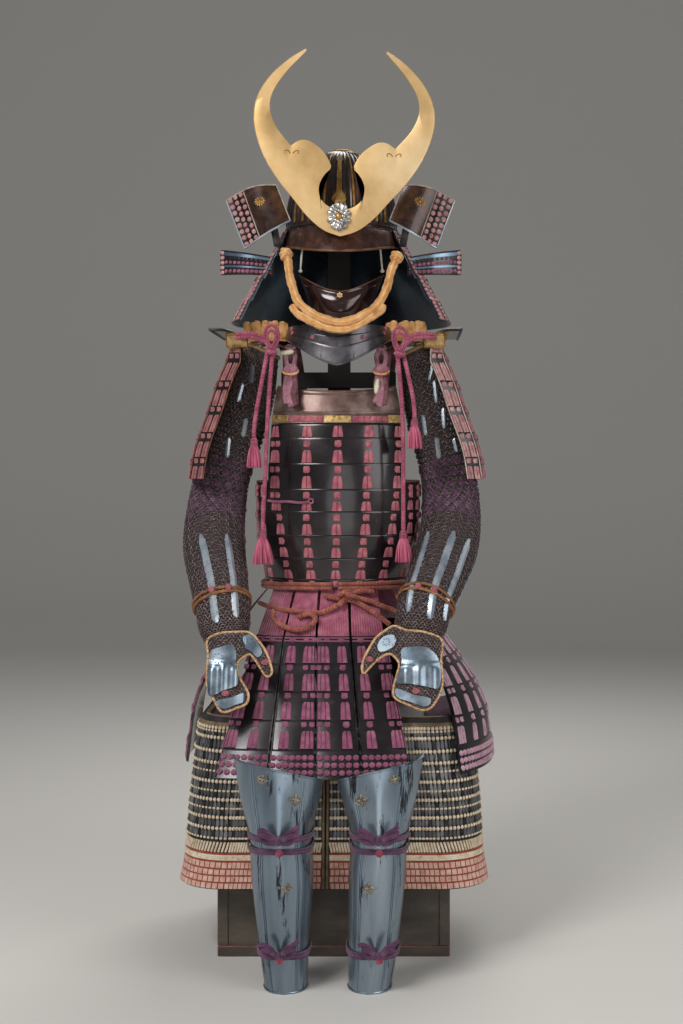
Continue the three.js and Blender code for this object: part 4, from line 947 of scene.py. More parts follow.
def inside(outline, points):
    """Which flat points lie inside a closed outline."""
    x, y = points[..., 0], points[..., 1]
    hit = np.zeros(x.shape, bool)
    for (x0, y0), (x1, y1) in zip(outline, np.roll(outline, -1, axis=0)):
        hit ^= ((y0 > y) != (y1 > y)) & (x < (x1 - x0) * (y - y0) / (y1 - y0 + 1e-12) + x0)
    return hit


def rivet(shape, surface, u, v, radius, lift, slot, wide=1.0, petals=0):
    side, down, n = axes = np.stack(surface.axes(u, v))
    p = surface.at(u, v, lift)
    shape.ball(p, (radius * wide, radius, radius * 0.55), slot, 8, 5, axes)
    for a in angles(petals, 0.5):
        q = p + (side * math.cos(a) * wide + down * math.sin(a)) * radius * 1.15
        shape.ball(q, (radius * 0.8, radius * 0.6, radius * 0.35), slot, 8, 5,
                   np.stack([side * math.cos(a) + down * math.sin(a),
                             down * math.cos(a) - side * math.sin(a), n]))


def curtain(shape, surface, us, v0, v1, width, slot, lift=0.4, thick=1.7, steps=8):
    """Flat laces side by side, each falling from v0 to v1."""
    for u in us:
        path = surface.at(np.full(steps, u), np.linspace(v0, v1, steps), lift)
        n = surface.normal(np.full(steps, u), np.linspace(v0, v1, steps))
        shape.tube(path, width / 2, 6, slot, flat=thick / width, up=n)


# ------------------------------------------------------------------ armour box
def armour_box():
    shape = Shape()
    w, d, high, rail, wall = (BOX[k] for k in ("half_wide", "half_deep", "high", "rail", "wall"))
    for s in (-1, 1):
        y0, y1 = sorted((s * d, s * (d - wall)))
        x0, x1 = sorted((s * w, s * (w - wall)))
        block(shape, -w, w, y0, y1, 0, rail, 2, 0, 1)
        block(shape, -w, w, y0, y1, high - rail, high, 2, 0, 1)
        for e in (-1, 1):
            a, b = sorted((e * w, e * (w - rail)))
            block(shape, a, b, y0, y1, rail, high - rail, 1.6, 0, 1)
            c0, c1 = sorted((e * (d - wall), e * (d - rail)))
            block(shape, x0, x1, c0, c1, rail, high - rail, 1.6, 0, 1)
        # A panel sits 3 mm behind the face of its rails and reaches 1 mm under them.
        inset0, inset1 = sorted((s * (d - 3), s * (d - wall)))
        block(shape, -w + rail - 1, w - rail + 1, inset0, inset1, rail - 1, high + 1 - rail, 0.5)
        inset0, inset1 = sorted((s * (w - 3), s * (w - wall)))
        block(shape, inset0, inset1, -d + rail - 1, d - rail + 1, rail - 1, high + 1 - rail, 0.5)
        block(shape, x0, x1, -d + wall, d - wall, 0, rail, 1.6, 0, 1)
        block(shape, x0, x1, -d + wall, d - wall, high - rail, high, 1.6, 0, 1)
    block(shape, -w + wall, w - wall, -d + wall, d - wall, 0.2, wall, 0.5)
    shape.make("box_look", [BOX_WOOD, BOX_EDGE], "armour_box")
    lid = Shape()
    block(lid, -w, w, -d, d, high + SEAM, BOX["lid_top"], 3, 0, 1)
    lid.make("lid_look", [BOX_WOOD, BOX_EDGE], "box_lid")
    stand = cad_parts["armour_stand"]
    stand.data.materials.clear()
    stand.data.materials.append(STAND_WOOD)


armour_box()


# ------------------------------------------------------------------ cuirass
def cuirass_point(angle, z):
    a = np.radians(angle)
    s, c = np.sin(a), np.cos(a)
    half, deep = along(CUIRASS_PLAN, z, "a"), along(CUIRASS_PLAN, z, "b")
    return xyz(half * np.sign(s) * np.abs(s) ** CUIRASS_POWER,
               -deep * np.sign(c) * np.abs(c) ** CUIRASS_POWER, z)


def angle_of(x, z):
    half = along(CUIRASS_PLAN, z, "a")
    return np.sign(x) * np.degrees(np.arcsin(np.clip((np.abs(x) / half) ** (1 / CUIRASS_POWER), 0, 1)))


def front_u(x, z):
    """The u on the front section of a place across it at a height."""
    return (float(angle_of(x, z)) + FRONT_ANGLE) / (2 * FRONT_ANGLE)


def cuirass_section(start, stop, top):
    return Surface(lambda u, v: cuirass_point(mix(start, stop, u), mix(top, HEM_Z, v)), (0, 0, 800))


# Where the laces of the front stand across, row by row from the collar down.
FRONT_LACES = [
    [-116, -116, -116, -116, -106, -101, -93, -84], [-54, -54, -54, -54, -54, -52, -48, -43],
    [5, 5, 5, 4, 3, 2, 1, 0], [64, 63, 61, 58, 58, 52, 49, 44], [118, 118, 116, 114, 108, 102, 93, 84],
]


def cuirass():
    top = COLLAR_Z
    front = cuirass_section(-FRONT_ANGLE, FRONT_ANGLE, top)
    gap = 0.3  # in degrees, between the side sections and the front and back ones
    lines = [(top - z) / (top - HEM_Z) for z in LAME_LINES]
    shape = Shape()
    plate(shape, front, evenly(44), lames(lines, LIP, EDGE, RIM / (top - HEM_Z)), PLATE)
    for k, xs in enumerate(FRONT_LACES):
        for i in range(len(lines) - 1):
            z_mid = (LAME_LINES[i] + LAME_LINES[i + 1]) / 2
            here = front_u(xs[i], z_mid)
            after = front_u(xs[min(i + 1, 7)], z_mid - 40)
            tall = lines[i + 1] - lines[i]

            def column(v, here=here, after=after, start=lines[i], tall=tall):
                return mix(here, after, (v - start) / tall * 0.4)

            double = k == 0 and i in (1, 2, 3)
            lacing(shape, front, column, lines[i:i + 2], knots=i > 0, wide=25 if double else 21,
                   top_wide=22 if double else 16, double=double, drop=5 if i < 7 else 2,
                   knot=7.2 if i < 7 else 6.4)
    tie = front.at([0.02, 0.1, 0.2, 0.3, 0.352], [0.468, 0.474, 0.472, 0.478, 0.47], 4.6)
    shape.tube(smooth_path(tie, 26), 3.2, 7, 2, flat=0.8)
    shape.torus(front.at(0.362, 0.468, 4.4), 4.2, 1.9, front.normal(0.362, 0.468), 2)
    shape.make("cuirass_front_look", [LACQUER, PINK, PLUM], "cuirass_front")
    for name, start, stop, high, us in (
            ("right", FRONT_ANGLE + gap, 180 - FRONT_ANGLE - gap, ARMHOLE_Z, (0.1, 0.3, 0.5, 0.7, 0.9)),
            ("back", 180 - FRONT_ANGLE, 180 + FRONT_ANGLE, top + 40, (0.07, 0.28, 0.5, 0.72, 0.93)),
            ("left", 180 + FRONT_ANGLE + gap, 360 - FRONT_ANGLE - gap, ARMHOLE_Z, (0.1, 0.3, 0.5, 0.7, 0.9))):
        surface = cuirass_section(start, stop, high)
        levels = [high] + [z for z in LAME_LINES if z < high - 4]
        at = [(high - z) / (high - HEM_Z) for z in levels]
        shape = Shape()
        plate(shape, surface, evenly(30), lames(at, LIP, EDGE, RIM / (high - HEM_Z)), PLATE)
        for u in us:
            lacing(shape, surface, upright(u), at, wide=20, drop=4)
        if name != "back":
            shape.tube(surface.across(0.0, 25, -0.5, 0.01, 0.99), 3.0, 8, 2)
        shape.make(f"cuirass_{name}_look", [LACQUER, PINK, BROWN_LEATHER], f"cuirass_{name}")


BAND_Z = 994  # the height of the gilt and laced border of the breast plate


def breast_point(u, v):
    across = 2 * u - 1
    high = 1055 - 11 * (1 - across ** 2)
    shoulder = 5 * np.clip(v, 0, 1) ** 3
    return cuirass_point(across * (FRONT_ANGLE - shoulder), mix(COLLAR_Z + 1, high, v))


def breast_plate():
    surface = Surface(breast_point, (0, 0, 1020))
    shape = Shape()
    rows = [(0, 1.0), (0.01, 1.6), (0.24, 1.6), (0.26, 0.9), (0.29, 0.5), (0.31, 1.5), (0.35, 1.6),
            (0.37, 0.5),
            (0.6, 0.5), (0.88, 0.6), (0.9, 1.7), (0.95, 2.3), (1.0, 2.0)]
    plate(shape, surface, evenly(44), rows, 2.2)
    for x0, x1 in ((-126, -90), (-21, 29), (98, 122)):
        us = evenly(10, front_u(x0, BAND_Z), front_u(x1, BAND_Z))
        strip(shape, surface, np.clip(us, 0.004, 0.996), [0.02, 0.12, 0.23], 1.5, 0.9, 1)
    for x in (-84, -73, -62, -51, -40, -29, 37, 48, 59, 70, 81, 92):
        lace_knot(shape, surface, front_u(x, BAND_Z), 0.12, 6.6, 1.8, 2)
    for x in (-107, 4, 109):
        rivet(shape, surface, front_u(x, BAND_Z), 0.12, 2.4, 2.4, 1, petals=6)
    shape.tube(surface.across(1.0, 41, 0.2, 0.004, 0.996), 2.4, 8, 3)
    shape.make("breast_look", [BREAST, BAND_GOLD, PINK, BROWN_LEATHER], "breast_plate")


cuirass()
breast_plate()


# ------------------------------------------------------------------ skirt
def skirt_surface(panel):
    left, right = [[{"at": t, "x": x, "y": y, "z": z} for t,
                    (x, y, z) in zip(EDGE_AT, panel[k])] for k in "ab"]

    def point(u, v):
        p, q = [xyz(*(along(rows, v, k) for k in "xyz")) for rows in (left, right)]
        gap = q - p
        out = unit(xyz(gap[..., 1], -gap[..., 0], np.zeros_like(gap[..., 0])))
        out = out * np.where((out * p).sum(-1) < 0, -1, 1)[..., None]
        swell = panel["bow"] * 4 * u * (1 - u) * np.clip(np.asarray(v, float) - EDGE_AT[0], 0, 1)
        return p + gap * np.asarray(u, float)[..., None] + out * np.asarray(swell, float)[..., None]

    return Surface(point, (0, 0, 600))


def skirt():
    for name, panel in SKIRT.items():
        surface = skirt_surface(panel)
        big = panel["bow"] > 7
        shape = Shape()
        lines = list(evenly(5))
        plate(shape, surface, evenly(30 if big else 14), lames(lines, 2.2, EDGE, 0.011), 2.2)
        wide = length_of(surface.across(0, 21))
        count = max(8, int(wide / 4.5))
        curtain(shape, surface, (np.arange(count) + 0.5) / count, EDGE_AT[0] + 0.004, 0.012, 4.2, 3)
        us = evenly(24 if big else 12, 0.02, 0.98)
        for level in (0.02, 0.042):
            shape.tube(surface.at(us, level, 2.8), 2.6, 7, 2, flat=0.7)
        for u_top, u_hem, braids in panel["cols"]:
            lacing(shape, surface, lambda v, a=u_top, b=u_hem: mix(a, b, v), lines[:-1],
                   wide=26 if braids == 3 else 19,
                   top_wide=23 if braids == 3 else 17, knot=6.4, drop=2.6, double=braids == 3, slot=2)
        count = int(length_of(surface.across(0.97, 21)) / 11.4)
        for level, lift in ((0.86, 3.0), (0.91, 2.8), (0.96, 2.4)):
            for k in range(count):
                rivet(shape, surface, (k + 0.5) / count, level, 5.6, lift, 2, wide=1.05)
        for u in (0.012, 0.988):
            shape.tube(surface.down(u, 30, 1.6, 0.0, 0.995), 1.5, 6, 4)
        lace = SIDE_LACE if name == "skirt_right" else PLUM
        shape.make(f"{name}_look", [LACQUER, PINK, lace, CURTAIN, IRON], name)


def waist_cord():
    shape = Shape()

    def out_front(points, proud=7.0):
        """Puts points given across and up on the front, from the waist down over the skirt."""
        laid = []
        for x, z in points:
            waist = -127 * math.sqrt(max(0.02, 1 - (x / 138) ** 2))
            laid.append((x, mix(waist, -174 + 24 * (abs(x) / 145) ** 3,
                                np.clip((668 - z) / 81, 0, 1)) - proud, z))
        return laid

    for s in (-1, 1):
        ring = []
        for angle in evenly(90, 2, 358):
            p, a = cuirass_point(angle, HEM_Z + 3.0), math.radians(angle)
            sway = 5 * math.cos(a) + 3 * math.sin(a) * (1 if s > 0 else 0.6)
            ring.append(p + unit(p * [1, 1, 0]) * 8.4 + [0, 0, 4.0 * s + sway * 0.6])
        shape.tube(np.array(ring), 4.6, 9, 0, flat=0.85)
    strands = (
        ([(-148, 640), (-120, 635), (-76, 631), (-33, 629), (-8, 636), (8, 645), (26, 657), (40, 667)], 9),
        ([(-118, 630), (-116, 616), (-96, 605), (-69, 599), (-46, 606), (-35, 618), (-44, 627), (-70, 622)],
         12),
        ([(-20, 660), (4, 655), (36, 650), (64, 635), (86, 620), (103, 607)], 11),
        ([(10, 664), (45, 655), (70, 648), (88, 640), (104, 634), (118, 627)], 13),
        ([(8, 642), (18, 655), (32, 664), (50, 668), (72, 666)], 16),
    )
    for points, proud in strands:
        shape.tube(smooth_path(out_front(points, proud), 50), 4.7, 9, 0)
    for k, tilt in enumerate((-0.5, 0.6, 0.1)):
        x = 24 + 8 * (k - 1)
        shape.torus((x, -150, 664 - 3 * k), 8, 3.8, (math.sin(tilt), 0.3, math.cos(tilt)), 0, 18, 8, 1.2)
    shape.ball((22, -146, 664), (14, 9, 9), 0, 12, 8)
    shape.make("waist_cord_look", [WAIST], "waist_cord")


skirt()
waist_cord()


# ------------------------------------------------------------------ helmet
HELMET_AT = np.array([HELMET["x"], HELMET["y"], HELMET["z"]], float)


def dome_point(u, v):
    """u goes once round the bowl from its front, v rises from its foot to the crown."""
    a = np.asarray(u, float) * 2 * math.pi
    rise = np.maximum(v, 0) * math.radians(82)
    reach = np.cos(rise) ** 0.8
    z = np.where(np.asarray(v) < 0, HELMET["collar"] * (1 + np.asarray(v) * 1.8),
                 HELMET["collar"] + (HELMET["high"] - HELMET["collar"]) * np.sin(rise))
    return xyz(-HELMET["half"] * reach * np.sin(a), -HELMET["deep"] * reach * np.cos(a), z) + HELMET_AT


def helmet_bowl():
    surface = Surface(dome_point, HELMET_AT + [0, 0, 20])
    shape = Shape()
    ribs = 52
    us = np.concatenate([(k + np.array([0, 0.2, 0.34, 0.5, 0.66,
                                        0.8])) / ribs for k in range(ribs)]) - 0.5 / ribs
    ridge = np.tile([0, 0.1, 0.8, 1.0, 0.8, 0.1], ribs)
    vs = np.concatenate([[-1, -0.5, -0.02], np.linspace(0.03, 1, 17)])
    u, v = np.meshgrid(us, vs)
    fade = np.clip((v + 0.02) * 12, 0, 1) * np.clip((1.02 - v) * 9, 0, 1)
    outer = surface.at(u, v, ridge[None, :] * 2.0 * fade)
    inner = surface.at(u, v, -2.5)
    shape.shell(outer, inner, ring=True)
    for level, thick in ((-0.9, 2.4), (-0.1, 1.8)):
        shape.tube(surface.at(evenly(72)[:-1], level, 0.6), thick, 8, 0, closed=True)
    for a, wide, high in ((0.0, 0.0075, 0.66), (-0.042, 0.003, 0.72), (0.042, 0.003, 0.72), (0.5, 0.009, 0.7),
                          (-0.11, 0.0035, 0.8), (0.11, 0.0035, 0.8), (-0.145, 0.0035, 0.8),
                          (0.145, 0.0035, 0.8)):
        strip(shape, surface, a + np.linspace(-wide, wide, 4), np.linspace(0.02, high, 18), 1.6, 1.2, 1)
        head = [a - wide * 1.8, a, a + wide * 1.8], [high, high - 0.06, high]
        tip = surface.at(*head, 3.2)
        end = surface.at(a, high + 0.12, 2.6)
        base = surface.at(*head, 1.0)
        shape.add3(np.vstack([tip, end, base]),
                   [(0, 1, 3), (1, 2, 3), (4, 3, 5), (5, 3, 6), (0, 3, 4), (3, 2, 6)], 1)
    low, mid, high = (surface.at(0.0, v, 4.2) for v in (0.1, 0.2, 0.32))
    wings = surface.at([-0.022, 0.022], 0.2, 2.0)
    shape.add3(np.vstack([low, wings[1], high, wings[0], mid + [0, -1.6, 0]]),
               [(0, 1, 4), (1, 2, 4), (2, 3, 4), (3, 0, 4)], 1)
    crown = HELMET_AT + [0, 0, HELMET["high"] - 1]
    for radius, lift, thick in ((29, -6.0, 2.6), (24, -1.5, 3.0), (18.5, 2.5, 3.2), (14.5, 4.5, 2.0)):
        shape.torus(crown + [0, 0, lift], radius, thick, (0, 0, 1), 1, 36, 8)
    for a in angles(16):
        shape.ball(crown + [31 * math.cos(a), 31 * math.sin(a), -6.5], (5.2, 5.2, 2.4), 1, 8, 5)
    for a in angles(12, 0.5):
        shape.ball(crown + [21.5 * math.cos(a), 21.5 * math.sin(a), 1.6], (3.2, 3.2, 1.6), 1, 8, 5)
    for u in (-0.13, -0.26, 0.13, 0.26):
        p, n = surface.at(u, 0.36, 0.0), surface.normal(u, 0.36)
        shape.ball(p + n * 1.2, (4.6, 4.6, 2.2), 1, 10, 5, np.stack([*np.linalg.svd(n[None])[2][1:], n]))
    back = -HELMET["deep"] + 8 + HELMET_AT[1]
    block(shape, CREST["x"] - 9, CREST["x"] + 9, CREST["y"] + 3, back, HELMET_AT[2] + 11, HELMET_AT[2] + 37,
          1, 1, 1)
    shape.make("bowl_look", [BOWL, OLD_GOLD], "helmet_bowl")


def visor():
    def point(u, v):
        a = np.radians(mix(-74, 74, u))
        c, s = np.cos(a), np.sin(a)
        root = xyz((HELMET["half"] + 4) * s, -(HELMET["deep"] + 4) * c, -2 + 8 * c)
        brim = xyz((HELMET["half"] + 7) * s, -(HELMET["deep"] + 42 * c) * c, -23 - 24 * c * c)
        v = np.asarray(v, float)
        return (root + (brim - root) * v[..., None] + HELMET_AT
                + xyz(0, 0, 1) * (14 * np.sin(math.pi * v) * c)[..., None])

    surface = Surface(point, HELMET_AT + [0, -100, -60])
    shape = Shape()
    rows = [(0, 0.2), (0.06, 1.2), (0.1, 0.2), (0.3, 0), (0.6, 0), (0.86, 0), (0.9, 1.0), (1.0, 1.0)]
    plate(shape, surface, evenly(40), rows, 2.2, inner_slot=2)
    shape.tube(surface.across(1.0, 45, 0.2, 0.004, 0.996), 2.3, 8, 1)
    for k in range(9):
        rivet(shape, surface, 0.1 + 0.1 * k, 0.05, 2.2, 1.0, 1)
    shape.make("visor_look", [RUSSET, HINGE, MASK], "helmet_visor")


CREST_HALF = [
    (30, -60), (62, -35), (87, -6), (122, 35), (151, 82), (168, 139), (164, 181), (143, 220), (109, 254),
    (76, 276),
    (74, 272), (113, 228), (135, 191), (139, 163), (126, 130), (97, 95), (82, 105), (66, 106), (44, 93),
    (30, 78),
    (20, 58), (34, 44), (43, 22), (38, -2), (20, -17),
]


def crest():
    outer = smooth_path([(0, -70, 0)] + [(x, z, 0) for x, z in CREST_HALF[:10]], 46)
    inner = smooth_path([(x, z, 0) for x, z in CREST_HALF[10:16]], 20)
    lobe = smooth_path([(x, z, 0) for x, z in CREST_HALF[15:21]], 18)
    slot_edge = smooth_path([(x, z, 0) for x, z in CREST_HALF[20:]] + [(0, -20, 0)], 18)
    tilt = math.radians(CREST["tilt"])

    def put(points, depth):
        points = np.asarray(points, float)
        x = points[..., 0] * math.cos(tilt) - points[..., 1] * math.sin(tilt)
        z = points[..., 0] * math.sin(tilt) + points[..., 1] * math.cos(tilt)
        return xyz(CREST["x"] + x, CREST["y"] + depth, CREST["z"] + z)

    # The horn is filled between its outer and its inner edge: each inner point is joined to the outer
    # one at its share of the way, slower past the slot.
    shape = Shape()
    within = np.vstack([slot_edge[::-1], lobe[::-1][1:], inner[::-1][1:]])
    run = run_of(within)
    at = np.linspace(0, run[-1], 90)
    within = at_run(within, run, at)
    out_run = run_of(outer)
    share = np.interp(at / run[-1], [0, 0.2, 0.36, 0.52, 0.62, 1], [0, 0.09, 0.2, 0.32, 0.44, 1])
    outside = at_run(outer, out_run, share * out_run[-1])
    t = np.array([0, 0.03, 0.5, 0.97, 1])
    sheet = within[None] + (outside - within)[None] * t[:, None, None]
    rise = np.array([0.5, 0, 0, 0, 0.5])[:, None]
    for s in (-1, 1):
        grid = sheet * [s, 1, 1]
        shape.shell(put(grid, rise - 0.2), put(grid, CREST["thick"]))
        for k in (-1, 1):
            curl = [(s * 95 + k * (8 + 2 * math.sin(a)) - k * 4.5 * math.cos(a), 82 + 4 * math.sin(a), 0)
                    for a in np.linspace(-0.5, 3.6, 16)]
            shape.tube(put(np.array(curl), -0.1), 1.3, 6, 1, flat=0.4, up=(0, -1, 0))
        shape.tube(put(outside[::3] * [s, 1, 1] * 0.996, -0.1), 0.7, 6, 0, flat=0.5, up=(0, -1, 0))
    shape.make("crest_look", [GOLD, OLD_GOLD], "crest_plate", sharp=30)
    boss = Shape()
    centre = np.array([8.7, CREST["y"] - 3.4, 1366.0])
    facing = np.array([[1, 0, 0], [0, 0, 1], [0, -1, 0]], float)
    for a in angles(10, 0.5):
        out = unit([math.cos(a), 0, 1.3 * math.sin(a)])
        p = centre + [13.5 * math.cos(a), -0.6, 18.5 * math.sin(a)]
        axes = np.stack([out, np.cross([0, -1.0, 0], out), [0, -1.0, 0]])
        boss.ball(p, (9.5, 5.0, 2.6), 0, 12, 7, axes)
        for side in (-1, 1):
            boss.ball(p + out * 3.4 + axes[1] * 3.8 * side, (4.4, 2.0, 1.7), 0, 8, 5, axes)
    for a in angles(8):
        boss.ball(centre + [8 * math.cos(a), -2.4, 10.5 * math.sin(a)], (4.4, 4.4, 2.0), 0, 8, 5, facing)
    boss.ball(centre + [0, -3.2, 0], (6, 7.5, 3.4), 1, 14, 7, facing)
    boss.ball(centre + [0, 0.6, 0], (19.5, 25.5, 2.2), 0, 24, 7, facing)
    boss.make("crest_boss_look", [SILVER, OLD_GOLD], "crest_boss")


TURN = {"inTop": (121, -76, 90), "inLow": (93, -82, 20), "outTop": (221, -56, 64), "outLow": (185, -52, -30)}


def turnback(side):
    """One of the plates turned back from the neck guard's front, with its flower and its laces."""
    name = side_name(side)

    def point(u, v):
        u, v = np.asarray(u, float), np.asarray(v, float)
        ends = {k: np.array(p, float) for k, p in TURN.items()}
        top = mix(ends["inTop"], ends["outTop"], u[..., None]) + xyz(0, 0, 8 * np.sin(math.pi * u))
        low = mix(ends["inLow"], ends["outLow"], u[..., None])
        p = top + (low - top) * v[..., None] + xyz(0, -16 * np.sin(math.pi * np.minimum(u * 1.15, 1)), 0)
        return p * [side, 1, 1] + HELMET_AT

    surface = Surface(point, HELMET_AT + [side * 150, 300, 0])
    shape = Shape()
    # the back face takes the neck steel darkened as painted shade
    plate(shape, surface, evenly(22), [(v, 0.4 * math.sin(math.pi * v)) for v in evenly(10)], 2.2,
          inner_slot=1)
    strip(shape, surface, evenly(8, 0.655, 0.985), evenly(8, 0.015, 0.985), 0.1, 0.5, 4)
    for column in range(3):
        for k in range(8 + column % 2):
            v = (k + 0.5) / (8 + column % 2)
            rivet(shape, surface, 0.71 + 0.108 * column, v, 5.0, 1.0, 2, wide=1.08)
    # the outer edge rolls (slot 6) take the pale steel, whose colour includes painted reflection
    for line, radius, slot in ((surface.down(0.012, 21, 1.0, 0.02, 0.98), 1.2, 5),
                               (surface.across(0.015, 21, 1.0, 0.012, 0.99), 1.3, 5),
                               (surface.across(0.985, 21, 0.8, 0.012, 0.99), 2.2, 6),
                               (surface.down(0.645, 21, 1.0, 0.02, 0.98), 1.1, 5),
                               (surface.down(0.99, 21, 0.8, 0.02, 0.98), 1.5, 6)):
        shape.tube(line, radius, 7, slot)
    u0, v0 = 0.42, 0.34
    p = surface.at(u0, v0, 0.9)
    across, up, n = surface.axes(u0, v0, 0.05)
    for ring, count, radius in ((8.4, 12, 3.3), (4.4, 8, 2.4)):
        for a in angles(count, 0.5):
            out = across * math.cos(a) + up * math.sin(a) * 0.8
            shape.petal(p + out * ring, (radius, radius * 0.5, 0.7), 3, out, n)
    shape.ball(p + n * 0.4, (2.6, 2.2, 1.0), 3, 10, 5, np.stack([across, up, n]))
    tab = smooth_path([(side * 128, -74, 14), (side * 124, -72, -4), (side * 120, -70, -26)], 8) + HELMET_AT
    shape.tube(tab, 7, 8, 4, flat=0.22, up=(0, -1, 0))
    shape.make(f"turnback_{name}_look", [TURN_LACQUER, NECK_STEEL_AND_SHADE, PALE_LACE, OLD_GOLD, IRON, PALE_EDGE,
                                         STEEL_AND_PAINTED_SHINE],
               f"turnback_{name}")


def neck_point(level, angle, offset):
    """A place on the neck guard's cone: a level under the helmet's centre and an angle from the back."""
    t = (np.asarray(level, float) - NECK["top"]) / (NECK["low"] - NECK["top"])
    a = np.radians(angle)
    half = mix(NECK["topHalf"], NECK["lowHalf"], t) + offset
    back = mix(NECK["topBack"], NECK["lowBack"], t) + offset
    return xyz(half * np.sin(a), back * np.cos(a), level) + HELMET_AT


def wing_surface(side):
    def point(u, v):
        u, v = np.asarray(u, float), np.asarray(v, float)
        z = mix(mix(-48, -30, u), mix(-82, -78, u), v)
        return xyz(side * mix(128, 232, u), -62 + 26 * u - 14 * np.sin(math.pi * u), z) + HELMET_AT

    return Surface(point, HELMET_AT + [side * 180, 300, -60])


def neck_wing(shape, side):
    wing = wing_surface(side)
    # the wing's back face takes the neck steel darkened as painted shade
    plate(shape, wing, evenly(16), [(v, 0.2) for v in evenly(5)], 2.2, slot=4, inner_slot=1)
    for levels in ([0.06, 0.12, 0.2], [0.6, 0.64, 0.68]):
        strip(shape, wing, evenly(12, 0.04, 0.96), levels, 0.2, 1.2, 0)
    for v0, slot, radius in ((0.29, 4, 2.4), (0.47, 5, 3.3), (0.84, 5, 3.8)):
        for k in range(11):
            rivet(shape, wing, 0.07 + 0.082 * k, v0, radius, 0.6, slot, wide=1.12)
    for k in range(5):
        rivet(shape, wing, 0.965, (k + 0.5) / 5, 4.2, 1.0, 3, wide=1.3)
    edge = [wing.across(0.01, 13, 0.6, 0.02, 0.98), wing.down(0.995, 5, 0.6, 0.1, 0.9),
            wing.across(0.985, 13, 0.6, 0.98, 0.02)]
    shape.tube(np.vstack(edge), 1.5, 6, 4)


def neck_guard():
    tall = (NECK["top"] - NECK["low"]) / NECK["lames"]
    for i in range(NECK["lames"]):
        top = NECK["top"] - i * tall
        low = NECK["top"] - (i + 1) * tall - (NECK["overlap"] if i < 3 else 0)

        def point(u, v, top=top, low=low, i=i):
            return neck_point(mix(top, low, v), mix(-NECK["reach"], NECK["reach"], u), i * 3.4)

        surface = Surface(point, HELMET_AT)
        shape = Shape()
        rows = [(0, 0.2), (0.04, 1.4), (0.1, 1.8), (0.2, 1.0), (0.5, 0.8), (0.88, 0.8), (0.92, 1.6), (1, 1.6)]
        # the inside takes the neck steel darkened as painted shade
        plate(shape, surface, evenly(60), rows, 1.6, inner_slot=1)
        count = 13 + 2 * i
        for k in range(count):
            u = (k + 0.5) / count
            lacing(shape, surface, upright(u), [0.0, 1.0], wide=14, top_wide=12, knot=4.6, drop=2.0, slot=2)
        for end in (0.018, 0.053, 0.947, 0.982):
            for k in range(6):
                rivet(shape, surface, end, (k + 0.5) / 6, 4.3, 1.4, 3, wide=1.85)
        for u in (0.001, 0.071, 0.929, 0.999):
            shape.tube(surface.down(u, 12, 1.2, 0.01, 0.99), 1.2, 6, 4)
        if i == 1:
            for side in (-1, 1):
                neck_wing(shape, side)
        if i == 3:
            shape.tube(surface.across(1.0, 71, 0.4, 0.002, 0.998), 2.2, 8, 4)
        shape.make(f"neck_{i + 1}_look", [STEEL if i == 1 else NECK_STEEL_AND_SHADE, NECK_STEEL_AND_SHADE, PINK, PALE_LACE,
                                          LACQUER, PLUM],
                   f"neck_lame_{i + 1}")


def helmet_cord():
    shape = Shape()
    over = [(-90, -120, 1292), (-86, -132, 1262), (-80, -142, 1240), (-68, -155, 1210), (-43, -170, 1188),
            (-12, -179, 1174), (12, -181, 1170), (47, -172, 1181), (79, -154, 1204), (97, -141, 1238),
            (106, -130, 1274), (113, -121, 1290)]
    under = [(-79, -150, 1202), (-70, -158, 1188), (-50, -167, 1175), (-22, -175, 1162), (10, -178, 1157),
             (40, -173, 1164), (66, -163, 1179), (86, -151, 1194), (90, -148, 1202)]
    for points, count in ((over, 130), (under, 80)):
        path = smooth_path(points, count)
        t = np.linspace(0, 1, count)
        swell = 8.0 + 0.5 * np.sin(t * 61) + 0.35 * np.sin(t * 143 + 1)
        shape.tube(path, swell, 14, 0, flat=0.88)
        fold = path + np.stack([0.4 * np.sin(t * 40), -2.2 + 0 * t, 2.5 * np.sin(t * 8)], axis=1)
        shape.tube(fold, 6.4 + 0.5 * np.sin(t * 47), 10, 0)
    for x, z in ((-93, 1303), (116, 1297)):
        shape.ball((x, -120, z), (12, 11, 12.5), 0, 16, 10)
        for k, tilt in enumerate((-0.7, 0.0, 0.7)):
            shape.torus((x, -121, z + 2 * (k - 1)), 9.5, 4.2, (math.sin(tilt), 0.25, math.cos(tilt)), 0, 20,
                        8, 1.05)
    shape.make("helmet_cord_look", [CHIN], "helmet_cord")


